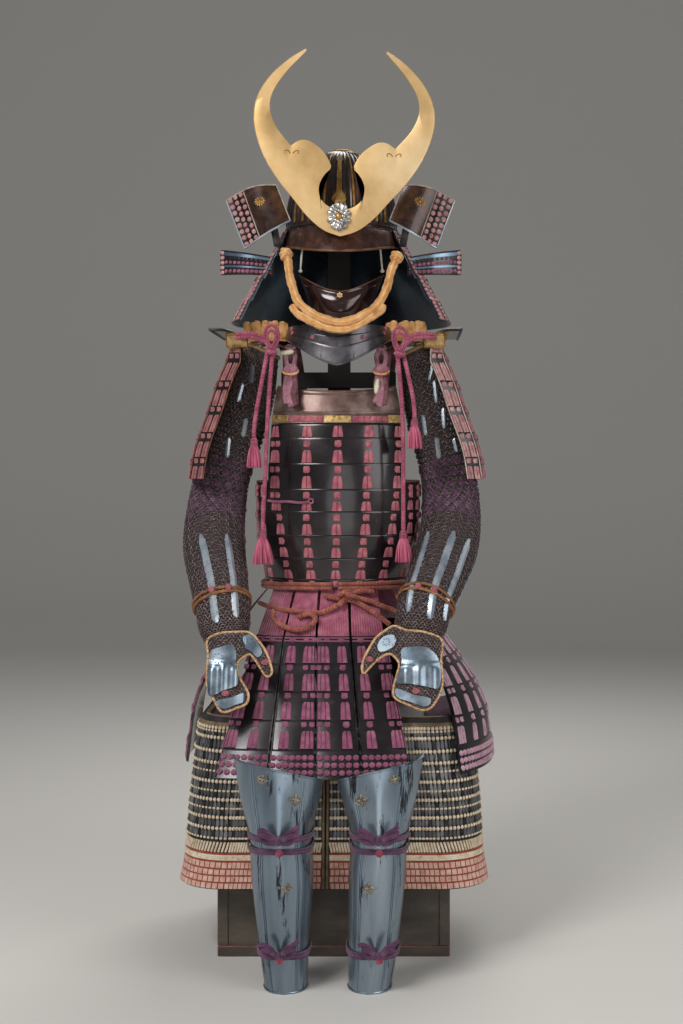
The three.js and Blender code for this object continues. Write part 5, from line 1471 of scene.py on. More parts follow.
# ------------------------------------------------------------------ mask and throat guard
def half_mask():
    def point(u, v):
        a = np.radians(mix(-76, 76, u))
        s = np.sin(a)
        v = np.asarray(v, float)
        drop = np.clip(v, 0, 1)
        nose = 1.5 * np.exp(-(s / 0.2) ** 2) * np.exp(-((v - 0.1) / 0.22) ** 2)
        chin = 3 * np.exp(-(s / 0.34) ** 2) * np.exp(-((v - 0.84) / 0.16) ** 2)
        lip = -0.6 * np.exp(-((v - 0.5) / 0.09) ** 2) * np.exp(-(s / 0.45) ** 2)
        cheek = 4 * np.exp(-((np.abs(s) - 0.55) / 0.2) ** 2) * np.exp(-((v - 0.35) / 0.25) ** 2)
        deep = 104 + 8 * np.sin(math.pi * drop) + chin + lip + cheek + nose * 0.6
        brow = 1231 + 42 * np.abs(s) ** 1.7
        return xyz(8.5 + (84 - 16 * v) * s, -30 - deep * np.cos(a), mix(brow, 1184 + 44 * s ** 4, v))

    surface = Surface(point, (8, 0, 1220))
    shape = Shape()
    flat = [(v, 0) for v in evenly(22, 0.1, 0.94)]
    rows = [(0, 1.4), (0.03, 1.6), (0.07, 0.2), *flat, (0.97, 1.2), (1, 1.2)]
    plate(shape, surface, evenly(64), rows, 2.2)
    for level, slot in ((0.0, 4), (1.0, 1)):
        shape.tube(surface.across(level, 61, 0.4, 0.004, 0.996), 1.5, 8, slot)
    flower, n = surface.at(0.5, 0.16, 1.0), np.array([0, -1.0, 0])
    for a in angles(6, 0.5):
        out = np.array([math.cos(a), 0, math.sin(a)])
        shape.petal(flower + out * 3.4, (2.8, 2.0, 1.0), 2, out, n)
    shape.ball(flower + n, (1.9, 1.9, 1.5), 2, 10, 5)
    for side in (-1, 1):
        u = 0.5 + side * 0.3
        hook = surface.at(u + side * np.array([0, 0, 0.03, 0.05]), np.array([0.2, 0.18, 0.1, 0.12]),
                          np.array([0, 9, 12, 9]))
        shape.tube(smooth_path(hook, 14), 1.9, 8, 1)
        x = -66 if side < 0 else 86
        string = smooth_path([(x - side * 2, -100, 1316), (x, -104, 1296), (x + side * 2, -98, 1274)], 14)
        shape.tube(string, 1.9, 7, 3)
        shape.ball(string[-1], (4.2, 3.4, 3.6), 3, 10, 6)
    shape.make("mask_look", [MASK, MASK, GOLD, WHITE_STRING, HINGE], "half_mask")


def throat_guard():
    def point(u, v):
        a = np.radians(mix(-84, 84, u))
        s, c = np.sin(a), np.cos(a)
        low = 1091 + 60 * np.abs(s) ** 1.4
        v = np.asarray(v, float)
        out = 118 + 10 * v
        return xyz(4.5 + (100 + 6 * v) * s, -28 - out * np.maximum(c, 1e-6) ** 0.9,
                   mix(1172 - 4 * s * s, low, v))

    surface = Surface(point, (4, 0, 1140))
    shape = Shape()
    plate(shape, surface, evenly(48), lames([0, 0.3, 0.56, 1], 2.6, EDGE, 0.035), 1.6)
    for u, v in ((0.39, 0.16), (0.61, 0.16), (0.14, 0.16), (0.86, 0.16), (0.34, 0.43), (0.66, 0.43),
                 (0.16, 0.43), (0.84, 0.43)):
        lace_knot(shape, surface, u, v, 4.6, 1.6, 1)
    shape.tube(surface.down(0.5, 20, 1.2, 0.02, 0.98), 0.8, 7, 0)
    for u in (0.28, 0.4, 0.6, 0.72):
        shape.tube(surface.down(u, 14, 1.0, 0.6, 0.97), 0.9, 6, 0)
    shape.tube(surface.across(0.985, 45, 1.0, 0.01, 0.99), 2.0, 8, 0)
    shape.make("throat_look", [THROAT_STEEL_AND_HIGHLIGHT, PINK, RED_BROWN, BROWN_LEATHER], "throat_guard")


helmet_bowl()
visor()
crest()
turnback(-1)
turnback(1)
neck_guard()
helmet_cord()
half_mask()
throat_guard()


# ------------------------------------------------------------------ shoulders
PAD_Z, PAD_FRONT, PAD_BACK = 1138, -58, 72


def shoulder_strap(side):
    name = side_name(side)
    route = [(84, -106, 1022), (87, -98, 1062), (90, -76, 1104), (94, -34, 1132), (96, 20, 1138),
             (94, 74, 1116),
             (88, 112, 1062), (84, 124, 1040)]
    path = smooth_path([(side * x, y, z) for x, y, z in route], 40)
    tangent = unit(np.gradient(path, axis=0))
    up = unit(np.cross(np.array([1.0, 0, 0]), tangent))
    up = up * np.sign((up * (path - [0, 0, 900])).sum(-1, keepdims=True))
    across = np.array([-0.5, -0.47, -0.3, 0, 0.3, 0.47, 0.5])
    hump = np.array([0, 0.8, 1.4, 1.6, 1.4, 0.8, 0])
    wide = np.interp(path[:, 1], [-106, -60, -30], [27, 27, 38])[:, None, None]
    base = path[:, None] + across[None, :, None] * wide * np.array([1.0, 0, 0])
    shape = Shape()
    shape.shell(base + hump[None, :, None] * up[:, None], base - 4 * up[:, None], slot=1)

    def pad(u, v):
        v = np.asarray(v, float)
        z = PAD_Z + 22 * np.sin(math.pi * 0.62 * u) - 16 * (2 * v - 1) ** 2
        return xyz(side * mix(84, 158, u), mix(PAD_FRONT, PAD_BACK, v), z)

    plate(shape, Surface(pad, (side * 110, 0, 1000)), evenly(12), [(v, 0.4) for v in evenly(16)], 3, slot=3)
    for k in range(15):
        y = mix(PAD_FRONT, PAD_BACK, (k + 0.5) / 15)
        z = PAD_Z + 22 * math.sin(math.pi * 0.62) - 16 * (2 * (k + 0.5) / 15 - 1) ** 2
        tongue = smooth_path([(side * 150, y, z - 2), (side * 160, y - 1, z + 1),
                              (side * 170, y - 3 * side * (k % 2), z - 4), (side * 176, y - 2, z - 12)], 8)
        shape.tube(tongue, np.array([5, 5, 5, 4.8, 4.6, 4.2, 3.6, 2.6]), 8, 4, flat=0.32, up=(0, 0, 1))
    for k in range(11):
        x = side * mix(97, 172, (k + 0.5) / 11)
        sway = 5 * math.sin(2.4 * k)
        frill = smooth_path([(x, PAD_FRONT, 1144), (x + sway * 0.3, -64, 1154), (x + sway * 0.7, -67, 1165),
                             (x + sway, -70 - (k % 2) * 4, 1177 + 2 * (k % 3))], 8)
        shape.tube(frill, np.array([4, 5, 6, 6.8, 7.2, 7.4, 7.0, 5.6]), 8, 4, flat=0.3, up=(0, -1, 0))
    x = side * 86
    shape.ball((x, -103, 1128), (8, 6, 6), 1, 12, 8)
    shape.torus((x, -106, 1128), 6.5, 3.0, (0.2, -0.6, 0.8), 5, 16, 8, 1.2)
    for s in (-1, 1):
        drop = smooth_path([(x + 3 * s, -106, 1124), (x + 9 * s, -108, 1112), (x + 8 * s, -109, 1100),
                            (x + 5 * s, -109, 1090)], 14)
        shape.tube(drop, 4.4, 8, 5, flat=0.75, up=(0, -1, 0))
    shape.ball((x, -108, 1084), (15, 7, 13), 5, 16, 9)
    shape.torus((x, -109, 1083), 13.5, 2.0, (0, -0.5, 0.86), 4, 24, 6, 1.1)
    for k, s in enumerate((-1, 1, 0)):
        tail = smooth_path([(x + 5 * s, -110, 1074), (x + 8 * s, -113, 1056),
                            (x + 6 * s + side * 2, -119, 1036),
                            (x + 8 * s - side * 3, -121, 1022 - 3 * k)], 14)
        shape.tube(tail, 6.4, 8, 5 if k != 1 else 1, flat=0.5, up=(0, -1, 0))
    t = np.linspace(-1, 1, 14)
    radius = 1.8 + 3.4 * (1 - t ** 2) ** 0.6
    if side < 0:
        line = np.stack([x - 6 + 13 * t, np.full(14, -113.0), 1118 + 2 * t], axis=1)
    else:
        line = np.stack([x - 8 + 2 * t, np.full(14, -118.0), 1054 + 14 * t], axis=1)
    shape.tube(line, radius, 10, 2)
    shape.make(f"strap_{name}_look", [BROWN_LEATHER, PAD, IVORY, RUSSET, FRILL, STRAP_TIE],
               f"shoulder_strap_{name}")


def guard_surface(side):
    def point(u, v):
        u, v = np.asarray(u, float), np.asarray(v, float)
        y = mix(GUARD_FRONT, GUARD_BACK, u)
        bend = GUARD_CURL * (2 * np.maximum(0.5 - u, (u - 0.5) * 0.8)) ** 3
        edge = GUARD_EDGE * np.maximum(0, 1 - u / GUARD_TURN)
        curl = (bend + edge) * np.minimum(1, np.maximum(v, 0) * 4)
        return xyz(side * (along(GUARD_FALL, v, "x") - curl), y, along(GUARD_FALL, v, "z"))

    return Surface(point, (0, 0, 1000))


def shoulder_guard(side):
    name = side_name(side)
    surface = guard_surface(side)
    shape = Shape()
    lines = [0.12, 0.2, 0.36, 0.52, 0.68, 0.84, 1]
    us = np.unique(np.concatenate([[0, 0.004, 0.02, 0.04, 0.056, 0.06, 0.064], evenly(22, 0.09, 0.99),
                                   [1.0]]))
    rows = [(0, 0.2), (0.012, 1.2), (0.03, 1.4), (0.05, 0.6), (0.085, 0.5)] + lames(lines, LIP, EDGE, 0.012)
    plate(shape, surface, us, rows, 1.8, inner_slot=4)
    for u in (0.016, 0.044):
        lacing(shape, surface, upright(u), lines, wide=12, top_wide=11.5, knot=5.2, drop=1.6, lift=1.8,
               slot=2)
    for u in (0.001, 0.061):
        shape.tube(surface.down(u, 50, 1.8, 0.125, 0.998), 1.3, 6, 6)
    for u in (0.91, 0.965):
        lacing(shape, surface, upright(u), lines, wide=13, top_wide=11, knot=5.4, drop=2.4, slot=2)
    for u in (0.14, 0.26, 0.39, 0.52, 0.65, 0.78):
        lacing(shape, surface, upright(u), lines, wide=20, top_wide=17, knot=6.6, drop=2.6)
    for k in range(19):
        lace_knot(shape, surface, mix(0.08, 1, (k + 0.5) / 19), 0.965, 5.2, 1.0, 1)
    strip(shape, surface, evenly(20, 0.01, 0.99), [0.055, 0.075, 0.1], 0.6, 1.2, 3)
    for k in range(5):
        rivet(shape, surface, 0.12 + 0.19 * k, 0.078, 3.0, 1.8, 3, petals=6)
    x, z = side * GUARD_BRACKET["x"], GUARD_BRACKET["z"]
    half, tall = GUARD_BRACKET["half"], GUARD_BRACKET["tall"]
    block(shape, x - half, x + half, GUARD_FRONT - 6, GUARD_FRONT + 5, z - tall, z + tall, 3, 5, 3)
    for k in range(9):
        t = (k + 0.5) / 9
        for row in (-1, 1):
            shape.ball((x + mix(-18, 18, t), GUARD_FRONT - 6.4, z + 10 * row), (1.6, 1.2, 1.6), 3, 6, 4)
    shape.tube(surface.across(0.004, 31, 1.2, 0.0, 0.995), 2.6, 8, 7)
    shape.tube(surface.down(0.0, 12, 1.0, 0.004, 0.115), 3.0, 8, 7)
    shape.tube(surface.down(0.998, 40, 0.6, 0.14, 0.998), 1.9, 7, 0)
    shape.make(f"shoulder_guard_{name}_look",
               [LACQUER, PINK, GUARD_LACE if side < 0 else PALE_LACE, OLD_GOLD, BROWN_LEATHER, GOLD_LEATHER,
                HINGE if side < 0 else PALE_EDGE, IRON],
               f"shoulder_guard_{name}")


# ------------------------------------------------------------------ sleeves and hand guards
class Arm:
    """One sleeve's centre line, and its skin at (u, v): u goes round it and v down it."""

    def __init__(self, side):
        self.side = side
        rows = [(side * (r["x"] + (r["lean"] if side < 0 else 0)), r["y"], r["z"]) for r in SLEEVE]
        self.path, self.number = dense_path(rows)
        self.last = len(SLEEVE) - 1
        self.radii = [{"at": i / self.last, "r": r["r"]} for i, r in enumerate(SLEEVE)]
        self.tangents = unit(np.gradient(self.path, axis=0))
        self.surface = Surface(self.skin, self.centre(0.5), (0.05, 0.5))
        # The front of the arm, which lies at another turn on the left and the right.
        self.front = np.linspace(0.02, 0.48, 93) + (0.5 if side > 0 else 0)

    def look_up(self, values, v):
        at = np.clip(np.asarray(v, float), 0, 1) * self.last
        return np.stack([np.interp(at, self.number, values[:, k]) for k in range(3)], axis=-1)

    def centre(self, v):
        return self.look_up(self.path, v)

    def skin(self, u, v):
        u, v = np.broadcast_arrays(np.asarray(u, float), np.asarray(v, float))
        t = np.clip(v, 0, 1)
        centre, tangent = self.look_up(self.path, t), unit(self.look_up(self.tangents, t))
        out = unit(np.array([self.side, 0, 0.0]) - self.side * tangent[..., :1] * tangent)
        fore = unit(np.cross(out, tangent))
        r = along(self.radii, t, "r")[..., None]
        a = (u * 2 * math.pi)[..., None]
        return centre + tangent * ((v - t) * 100)[...,
                                                  None] + out * r * np.cos(a) + fore * r * np.sin(a) * 0.94

    def spot(self, x, z):
        """Where on the front of the arm a place lies, given across and up."""
        u, vs = self.front[46], np.linspace(0, 1, 401)
        for _ in range(6):
            v = vs[np.argmin(np.abs(self.skin(np.full(401, u), vs)[:, 2] - z))]
            u = self.front[np.argmin(np.abs(self.skin(self.front, np.full(93, v))[:, 0] - x))]
        return u, v


def mail(shape, surface, us, vs, shown, slot, radius=3.6, thick=0.72):
    """Linked rings all over a skin, each lying aslant to its neighbour."""
    turns, sides = 5, 3
    a, b = angles(turns), angles(sides)
    reach = radius + thick * np.cos(b)
    ring = xyz(reach * np.cos(a)[:, None], reach * np.sin(a)[:, None], thick * np.sin(b)).reshape(-1, 3)
    k, j = np.meshgrid(np.arange(turns), np.arange(sides), indexing="ij")
    k2, j2 = (k + 1) % turns, (j + 1) % sides
    quad = np.stack([k * sides + j, k2 * sides + j, k2 * sides + j2, k * sides + j2], axis=-1).reshape(-1, 4)
    u, v = np.meshgrid(us, vs)
    u = u + (np.arange(len(vs)) % 2)[:, None] * (us[1] - us[0]) / 2
    keep = shown(u, v)
    u, v = u[keep], v[keep]
    n = surface.normal(u, v)
    down = unit(surface.at(u, v + 0.004) - surface.at(u, v - 0.004))
    side = np.cross(n, down)
    tilt = np.where(np.arange(len(u)) % 2 == 0, 0.3, -0.3)[:, None]
    out = unit(n + tilt * down)
    axes = np.stack([side, -np.cross(side, out), out], axis=1)
    points = surface.at(u, v, 1.3)[:, None] + np.einsum("rk,nkc->nrc", ring, axes)
    faces = (quad[None] + (np.arange(len(u)) * len(ring))[:, None, None]).reshape(-1, 4)
    if np.linalg.det(axes[0]) < 0:
        faces = faces[:, ::-1]
    shape.add(points, faces, np.zeros((len(u) * len(ring), 2)), slot)


def splint(shape, surface, u0, v0, u1, v1, width, slot, rise=2.2, steps=16):
    """A narrow domed steel bar between two places on a surface."""
    u, v = np.linspace(u0, u1, steps), np.linspace(v0, v1, steps)
    middle = surface.at(u, v, 0.6)
    normal = surface.normal(u, v)
    run = unit(np.gradient(middle, axis=0))
    side = unit(np.cross(normal, run))
    t = np.linspace(-1, 1, steps)
    half = width / 2 * np.clip(np.sqrt(np.clip(1 - np.abs(t) ** 14, 0, 1)), 0.45, 1)
    across = np.array([-1, -0.8, 0, 0.8, 1])
    high = np.array([0.3, 1.2, rise, 1.2, 0.3])
    spread = middle[:, None] + across[None, :, None] * half[:, None, None] * side[:, None]
    shape.shell(spread + high[None, :, None] * normal[:, None], spread - 0.3 * normal[:, None], slot=slot)


def sleeve(side):
    name = side_name(side)
    arm = Arm(side)
    surface = arm.surface
    us, vs = evenly(40), evenly(60)
    u, v = np.meshgrid(us, vs)
    wave = 0.6 * np.sin(v * 70) * np.cos(u * 6 * math.pi)
    run = run_of(arm.centre(vs))
    girth = 2 * math.pi * float(along(arm.radii, 0.5, "r")) * 0.97
    uv = np.stack(np.meshgrid(us * girth * MM, run * MM), axis=-1)
    outer, inner = surface.at(u, v, wave - 0.4), surface.at(u, v, wave - 2.2)
    n = np.cross(outer[5, 1] - outer[5, 0], outer[6, 0] - outer[5, 0])
    flip = bool(np.dot(n, outer[5, 0] - inner[5, 0]) < 0)
    cloth = Shape()
    cloth.grid(outer, False, 0, uv, flip=flip)
    cloth.grid(inner, False, 0, uv, flip=not flip)
    cloth.grid(np.stack([outer[0], inner[0]]), False, 0, flip=not flip)
    cloth.grid(np.stack([outer[-1], inner[-1]]), False, 0, flip=flip)
    mesh = cloth.make(f"sleeve_{name}_cloth", [MAIL_CLOTH], [f"sleeve_{name}_outer", f"sleeve_{name}_inner"])
    round_at = np.array([length_of(surface.at(us, k)) for k in vs])
    steel = Shape()
    middle = arm.front[46]

    def soft(u, v):
        """The elbow, where the cloth shows purple through the rings."""
        return (v > 0.365) & (v < 0.55) & (np.abs(np.mod(u - middle + 0.5, 1) - 0.5) < 0.3)

    rings = np.arange(42) / 42, np.linspace(0.012, 0.985, 84)
    mail(steel, surface, *rings, lambda u, v: ~soft(u, v), 0)
    mail(steel, surface, *rings, soft, 5)
    for row in range(7):
        for k in range(7):
            u0 = middle + (k - 3 + 0.5 * (row % 2)) * 0.07
            rivet(steel, surface, u0, 0.38 + 0.026 * row, 9.4, -2.2, 2, wide=1.1)
    splints = UPPER_SPLINTS[name] + FOREARM_SPLINTS[name]
    # the splints' pale steel colour also stands in for their shine: painted reflection
    for k, (x0, z0, x1, z1) in enumerate(splints):
        broad = k >= len(UPPER_SPLINTS[name])
        splint(steel, surface, *arm.spot(x0, z0), *arm.spot(x1, z1), 14 if broad else 9, 1,
               3.8 if broad else 3.4)
    for k in range(3):  # the outer side, behind the front ones
        u0 = side * 0.07 * (k + 0.6)
        splint(steel, surface, u0, 0.62, u0, 0.84, 12, 1, 3.0)
        for v0 in (0.14, 0.25):
            splint(steel, surface, u0, v0 + 0.02 * (k % 2), u0, v0 + 0.05 + 0.02 * (k % 2), 8, 1, 3.2)
    steel.tube(surface.at(evenly(60)[:-1], 0.012, 1.4), 4.2, 8, 3, closed=True)
    for k in range(9):
        v0 = 0.08 + 0.1 * k
        cross = surface.at([0.47, 0.5, 0.53], [v0, v0 + 0.012, v0], 2.4)
        steel.tube(smooth_path(cross, 10), 1.8, 6, 4)
    extra = steel.make(f"sleeve_{name}_mail", [MAIL, STEEL_AND_PAINTED_SHINE, PURPLE_CLOTH, TAN, PLUM, PURPLE_MAIL])
    cord = Shape()
    for k, shift in enumerate((-0.006, 0.006)):
        turn = evenly(60)[:-1]
        ring = surface.at(turn, 0.788 + shift + 0.004 * np.sin(turn * 2 * math.pi + k), 4.2)
        cord.tube(ring, 2.9, 8, 0, closed=True)
    for spread in (-0.045, 0.045):
        cord.ball(surface.at(middle + spread, 0.788, 6.4), (5.6, 4.4, 6.4), 1, 12, 8)
    cord.make(f"wrist_cord_{name}_look", [WRIST, PINK], f"wrist_cord_{name}")


WRIST_Y, WRIST_Z = -274, 591


def hand_guard(side):
    name = side_name(side)
    row = HANDS[name]
    def lie(u, v):
        """u and v count tenths of a metre, inwards and down from the wrist."""
        p, q = np.asarray(u, float) * 100, np.asarray(v, float) * 100
        far = (p - row["middle"]) / row["half"]
        bow = np.where(far < 1, 10 * far ** 2, 10 - 14 * np.clip(far - 1, 0, 1.5))
        return xyz(side * (row["wrist"] - p), WRIST_Y - 0.28 * q + bow, WRIST_Z - q)

    skin = Surface(lie, (side * row["wrist"], 200, 540), (0.0, 0.5))
    shape = Shape()

    def place(p, q, lift):
        return skin.at(np.asarray(p) / 100, np.asarray(q) / 100, lift)

    outlines = {k: rounded(row[k], n) for k, n in (("mitten", 110), ("hand", 56), ("strip", 30),
                                                   ("thumb", 30))}
    lean = row["half"] / 36

    def knuckles(p, q):
        ridge = sum(np.exp(-((p - row["middle"] - k * lean) / (7.2 * lean)) ** 2) for k in (-20, 0, 19))
        start = 1 / (1 + np.exp(-(q - 44 - 0.12 * np.abs(p)) / 2.2))
        brow = 1.4 * np.exp(-((q - 41) / 3.0) ** 2)
        return 1.4 + 4.2 * ridge * start + brow

    cut_plate(shape, outlines["mitten"], place, 5, 2.0, 3)
    for plate_name, step, relief in (("hand", 2.6, knuckles), ("strip", 3, lambda p, q: 2.2 + 0 * p),
                                     ("thumb", 3, lambda p, q: 2.6 + 0 * p)):
        cut_plate(shape, outlines[plate_name], lambda p, q, lift: place(p, q, lift + 0.6), step, 0.9, 0,
                  relief=relief)

    def bare(u, v):
        """Where the glove shows between its plates."""
        at = np.stack([u * 100, v * 100], axis=-1)
        covered = [inside(outlines[k], at) for k in ("hand", "thumb", "strip")]
        return inside(outlines["mitten"], at) & ~np.any(covered, axis=0)

    mail(shape, skin, np.arange(-60, 118, 5.4) / 100, np.arange(-30, 126, 4.6) / 100, bare, 4, radius=2.8,
         thick=0.6)
    line = place(outlines["mitten"][:, 0], outlines["mitten"][:, 1], np.full(110, -0.4))
    shape.tube(line, 2.3, 8, 1, closed=True)
    for centre, radius, count in row["flowers"]:
        for a in angles(count):
            p, q = centre[0] + radius * math.cos(a), centre[1] + radius * math.sin(a)
            lift = float(knuckles(np.array(p), np.array(q))) + 0.6 if q > 20 else 3.4
            shape.ball(place(p, q, lift), (1.5, 1.1, 1.5), 0, 6, 4)
    for p, q in row["knots"]:
        shape.ball(place(p, q, 3.2), (7.5, 3.6, 5.0), 2, 12, 7)
        shape.torus(place(p, q, 4.6), 3.6, 1.5, (0.3, -1, 0.2), 2, 12, 6, 1.4)
    shape.make(f"hand_guard_{name}_look", [HAND_STEEL, TAN, PINK, MAIL_CLOTH, MAIL], f"hand_guard_{name}")


# ------------------------------------------------------------------ shoulder cords
def knots_and_cords():
    teardrop = [(0, -27), (-7, -14), (-13, 4), (-10, 20), (0, 27), (10, 20), (13, 4), (7, -14), (0, -27)]
    for name, at in KNOT.items():
        side = -1 if name == "left" else 1
        at = np.array(at, float) + [0, -3, 5]
        shape = Shape()
        for size, depth, radius in ((1.0, 0, 3.2), (0.62, -2.5, 3.2)):
            loop = smooth_path([at + [x * size + side * 0.6, depth - 0.04 * abs(z), z * size] for x,
                                z in teardrop], 44)
            shape.tube(loop, radius, 9, 0)
        shape.ball(at + [0, 1, -24], (9, 8, 7), 0, 14, 9)
        shape.torus(at + [0, -2, -23], 8.5, 3.2, (0.1, -0.3, 0.95), 0, 18, 8, 1.15)
        for k in (-1, 1):
            across = smooth_path([at + [side * 12, 3, 3.5 * k - 2], (side * 146, -141, 1145 + 3.6 * k),
                                  (side * 166, -138, 1149 + 3.6 * k), (side * 188, -126.6, 1148 + 3.4 * k)],
                                  24)
            shape.tube(across, 3.5, 9, 0)
        shape.make(f"shoulder_knot_{name}_look", [SILK], f"shoulder_knot_{name}")
    for name, row in HANGING.items():
        route = row["route"]
        path = smooth_path(route, 60)
        shape = Shape()
        shape.tube(path, SHOULDER_CORD / 2, 14, 0)
        cord = shape.make(f"cord_{name}_look", [SILK], f"hanging_cord_{name}")
        wide, drop = row["tassel"], row["drop"]
        x, y, z = route[-1]
        tassel = Shape()
        tassel.ball((x, y, z - 7), (7, 7, 7), 0, 14, 9)
        for k in range(3):
            tassel.torus((x, y, z - 10.5 - 2.6 * k), 5.8, 1.7, (0, 0, 1), 0, 16, 6)
        threads = random.Random(len(name))
        for k in range(110):
            a = threads.uniform(0, 2 * math.pi)
            r = wide / 2 * math.sqrt(threads.uniform(0.02, 1)) * 0.94
            top = 4.2 * min(1, r / 6)
            end = drop - threads.uniform(0, 4) - 0.5
            swell = (top + 0.62 * r) * 0.82
            points = [(x + top * math.cos(a), y + top * math.sin(a), z - 13),
                      (x + swell * math.cos(a), y + swell * math.sin(a), z - mix(13, end, 0.4)),
                      (x + r * math.cos(a + 0.1), y + r * math.sin(a + 0.1), z - end)]
            tassel.tube(smooth_path(points, 6), [1.5, 1.5, 1.4, 1.3, 1.2, 1.0], 5, 1)
        end_piece = tassel.make(f"tassel_{name}_look", [SILK, TASSEL], f"tassel_{name}")


# ------------------------------------------------------------------ thigh guards
def thigh_point(side, u, v):
    """u goes across the front and round the corner, v runs out over the box lid and down to the hem."""
    half, front, corner, z = (along(THIGH, v, k) for k in ("half", "front", "corner", "z"))
    inner = THIGH_SPLIT + 4 if side > 0 else -THIGH_SPLIT
    bend, rear = THIGH_BEND, THIGH_REAR
    u = np.asarray(u, float)
    a = (np.clip(u, bend, rear) - bend) / (rear - bend) * math.pi / 2
    flat = xyz(mix(inner, half - corner, np.minimum(u, bend) / bend), -front, z)
    turn = xyz(half - corner + corner * np.sin(a), -front + corner - corner * np.cos(a), z)
    away = xyz(half, mix(-front + corner, THIGH_END, (np.maximum(u, rear) - rear) / (1 - rear)), z)
    p = np.where((u < bend)[..., None], flat, np.where((u > rear)[..., None], away, turn))
    return p * [side, 1, 1]


def thigh_guard(side):
    name = side_name(side)
    surface = Surface(lambda u, v: thigh_point(side, *np.broadcast_arrays(u, v)), (side * 100, 0, 200),
                      (0.3, 0.5))
    us = np.unique(np.concatenate([evenly(10, 0, THIGH_BEND), evenly(8, THIGH_BEND, THIGH_REAR),
                                   evenly(8, THIGH_REAR, 1)]))
    vs = np.unique(np.concatenate([evenly(8, 0, 0.25), evenly(16, 0.25, 1)]))
    u, v = np.meshgrid(us, vs)
    fold = 0.7 * np.sin(u * 30) * np.clip((v - 0.2) * 2, 0, 1)
    cloth = Shape()
    outer, inner = surface.at(u, v, fold), surface.at(u, v, fold - 2.0)
    cloth.shell(outer, inner)
    mesh = cloth.make(f"thigh_guard_{name}_cloth", [APRON], f"thigh_guard_{name}")
    across, falls = (np.linalg.norm(np.diff(outer, axis=k), axis=2) for k in (1, 0))
    shape = Shape()
    start, stop = 0.012, 0.985
    width = float(across[10].sum())

    def v_of(z):
        """The v of a height, below the bend over the lid's edge."""
        return float(np.interp(-z, [-row["z"] for row in THIGH[3:]], [row["at"] for row in THIGH[3:]]))

    def places(pitch):
        count = int(width / pitch)
        return start + (stop - start) * (np.arange(count) + 0.5) / count

    def band(v0, v1, lift, thick, slot):
        strip(shape, surface, evenly(60, start, stop), [v0, mix(v0, v1, 0.15), mix(v0, v1, 0.85), v1], lift,
              thick, slot)

    def beads(z, radii, lift):
        us, v = places(8.6), v_of(z)
        for p, n in zip(surface.at(us, v, lift), surface.normal(us, np.full(len(us), v))):
            side = unit(np.cross([0, 0, 1.0], n))
            shape.ball(p, radii, 2, 5, 3, np.stack([side, np.cross(n, side), n]))

    band(0.012, 0.14, 0.4, 0.8, 7)
    band(0.15, 0.245, 0.6, 1.4, 3)
    for z0, z1 in ((428, 408), (404, 384), (380, 363), (359, 330), (326, 299), (295, 267), (263, 248),
                   (244, 226)):
        for k, u0 in enumerate(places(8.6)):
            splint(shape, surface, u0, v_of(z0), u0, v_of(z1), 7.3, 1 if (k * 7 + z0) % 9 < 2 else 0, 1.8,
                   steps=4)
    for z in (430, 406, 382, 361, 328, 297, 265, 246):
        beads(z, (3.7, 3.9, 2.4), 3.6)
    for z in (418, 346, 312, 281, 229):
        beads(z, (3.3, 2.5, 2.0), 3.8)
    for u0 in places(7):
        path = surface.at(np.linspace(u0 - 0.005, u0 + 0.004, 5), np.linspace(v_of(222), v_of(205), 5), 1.6)
        shape.tube(path, 2.1, 6, 2, flat=0.6)
    band(v_of(204), 0.995, 0.5, 1.2, 5)
    band(v_of(200), v_of(190), 1.7, 1.6, 2)
    squares = places(11.2)
    half = 0.5 * (squares[1] - squares[0]) * 0.8
    for row, z in enumerate((182, 170, 158, 146)):
        for u0 in squares + half * 0.4 * (row % 2):
            strip(shape, surface, [u0 - half, u0 + half], [v_of(z + 4.6), v_of(z - 4.6)], 1.7, 1.0, 6)
    for u0 in (0.004, 0.992):
        shape.tube(surface.down(u0, 50, 0.8, 0.02, 0.995), 2.4, 8, 3)
    extra = shape.make(f"thigh_guard_{name}_splints",
                       [SPLINT, IRON, CREAM, BAND, RED_BROWN, BRICK, SQUARES, PURPLE_CLOTH])


# ------------------------------------------------------------------ shin guards
def shin_point(shin, u, v):
    """u goes round the front from one edge to the other, v rises from the foot to the knee."""
    across = 2 * np.asarray(u, float) - 1
    t = across * shin["outer"]
    top = np.where(t > 0.3, mix(shin["dipZ"], shin["outerZ"], (t - 0.3) / 0.7),
                   mix(shin["dipZ"], shin["innerZ"], (0.3 - t) / 1.3))
    z = top * np.asarray(v, float)
    x, half, deep = (along(shin["rows"], z, k) for k in ("x", "half", "deep"))
    a = np.radians(across * 90)
    return xyz(x + half * np.sin(a), SHIN_Y - deep * np.maximum(np.cos(a), 1e-5) ** 0.8, z)


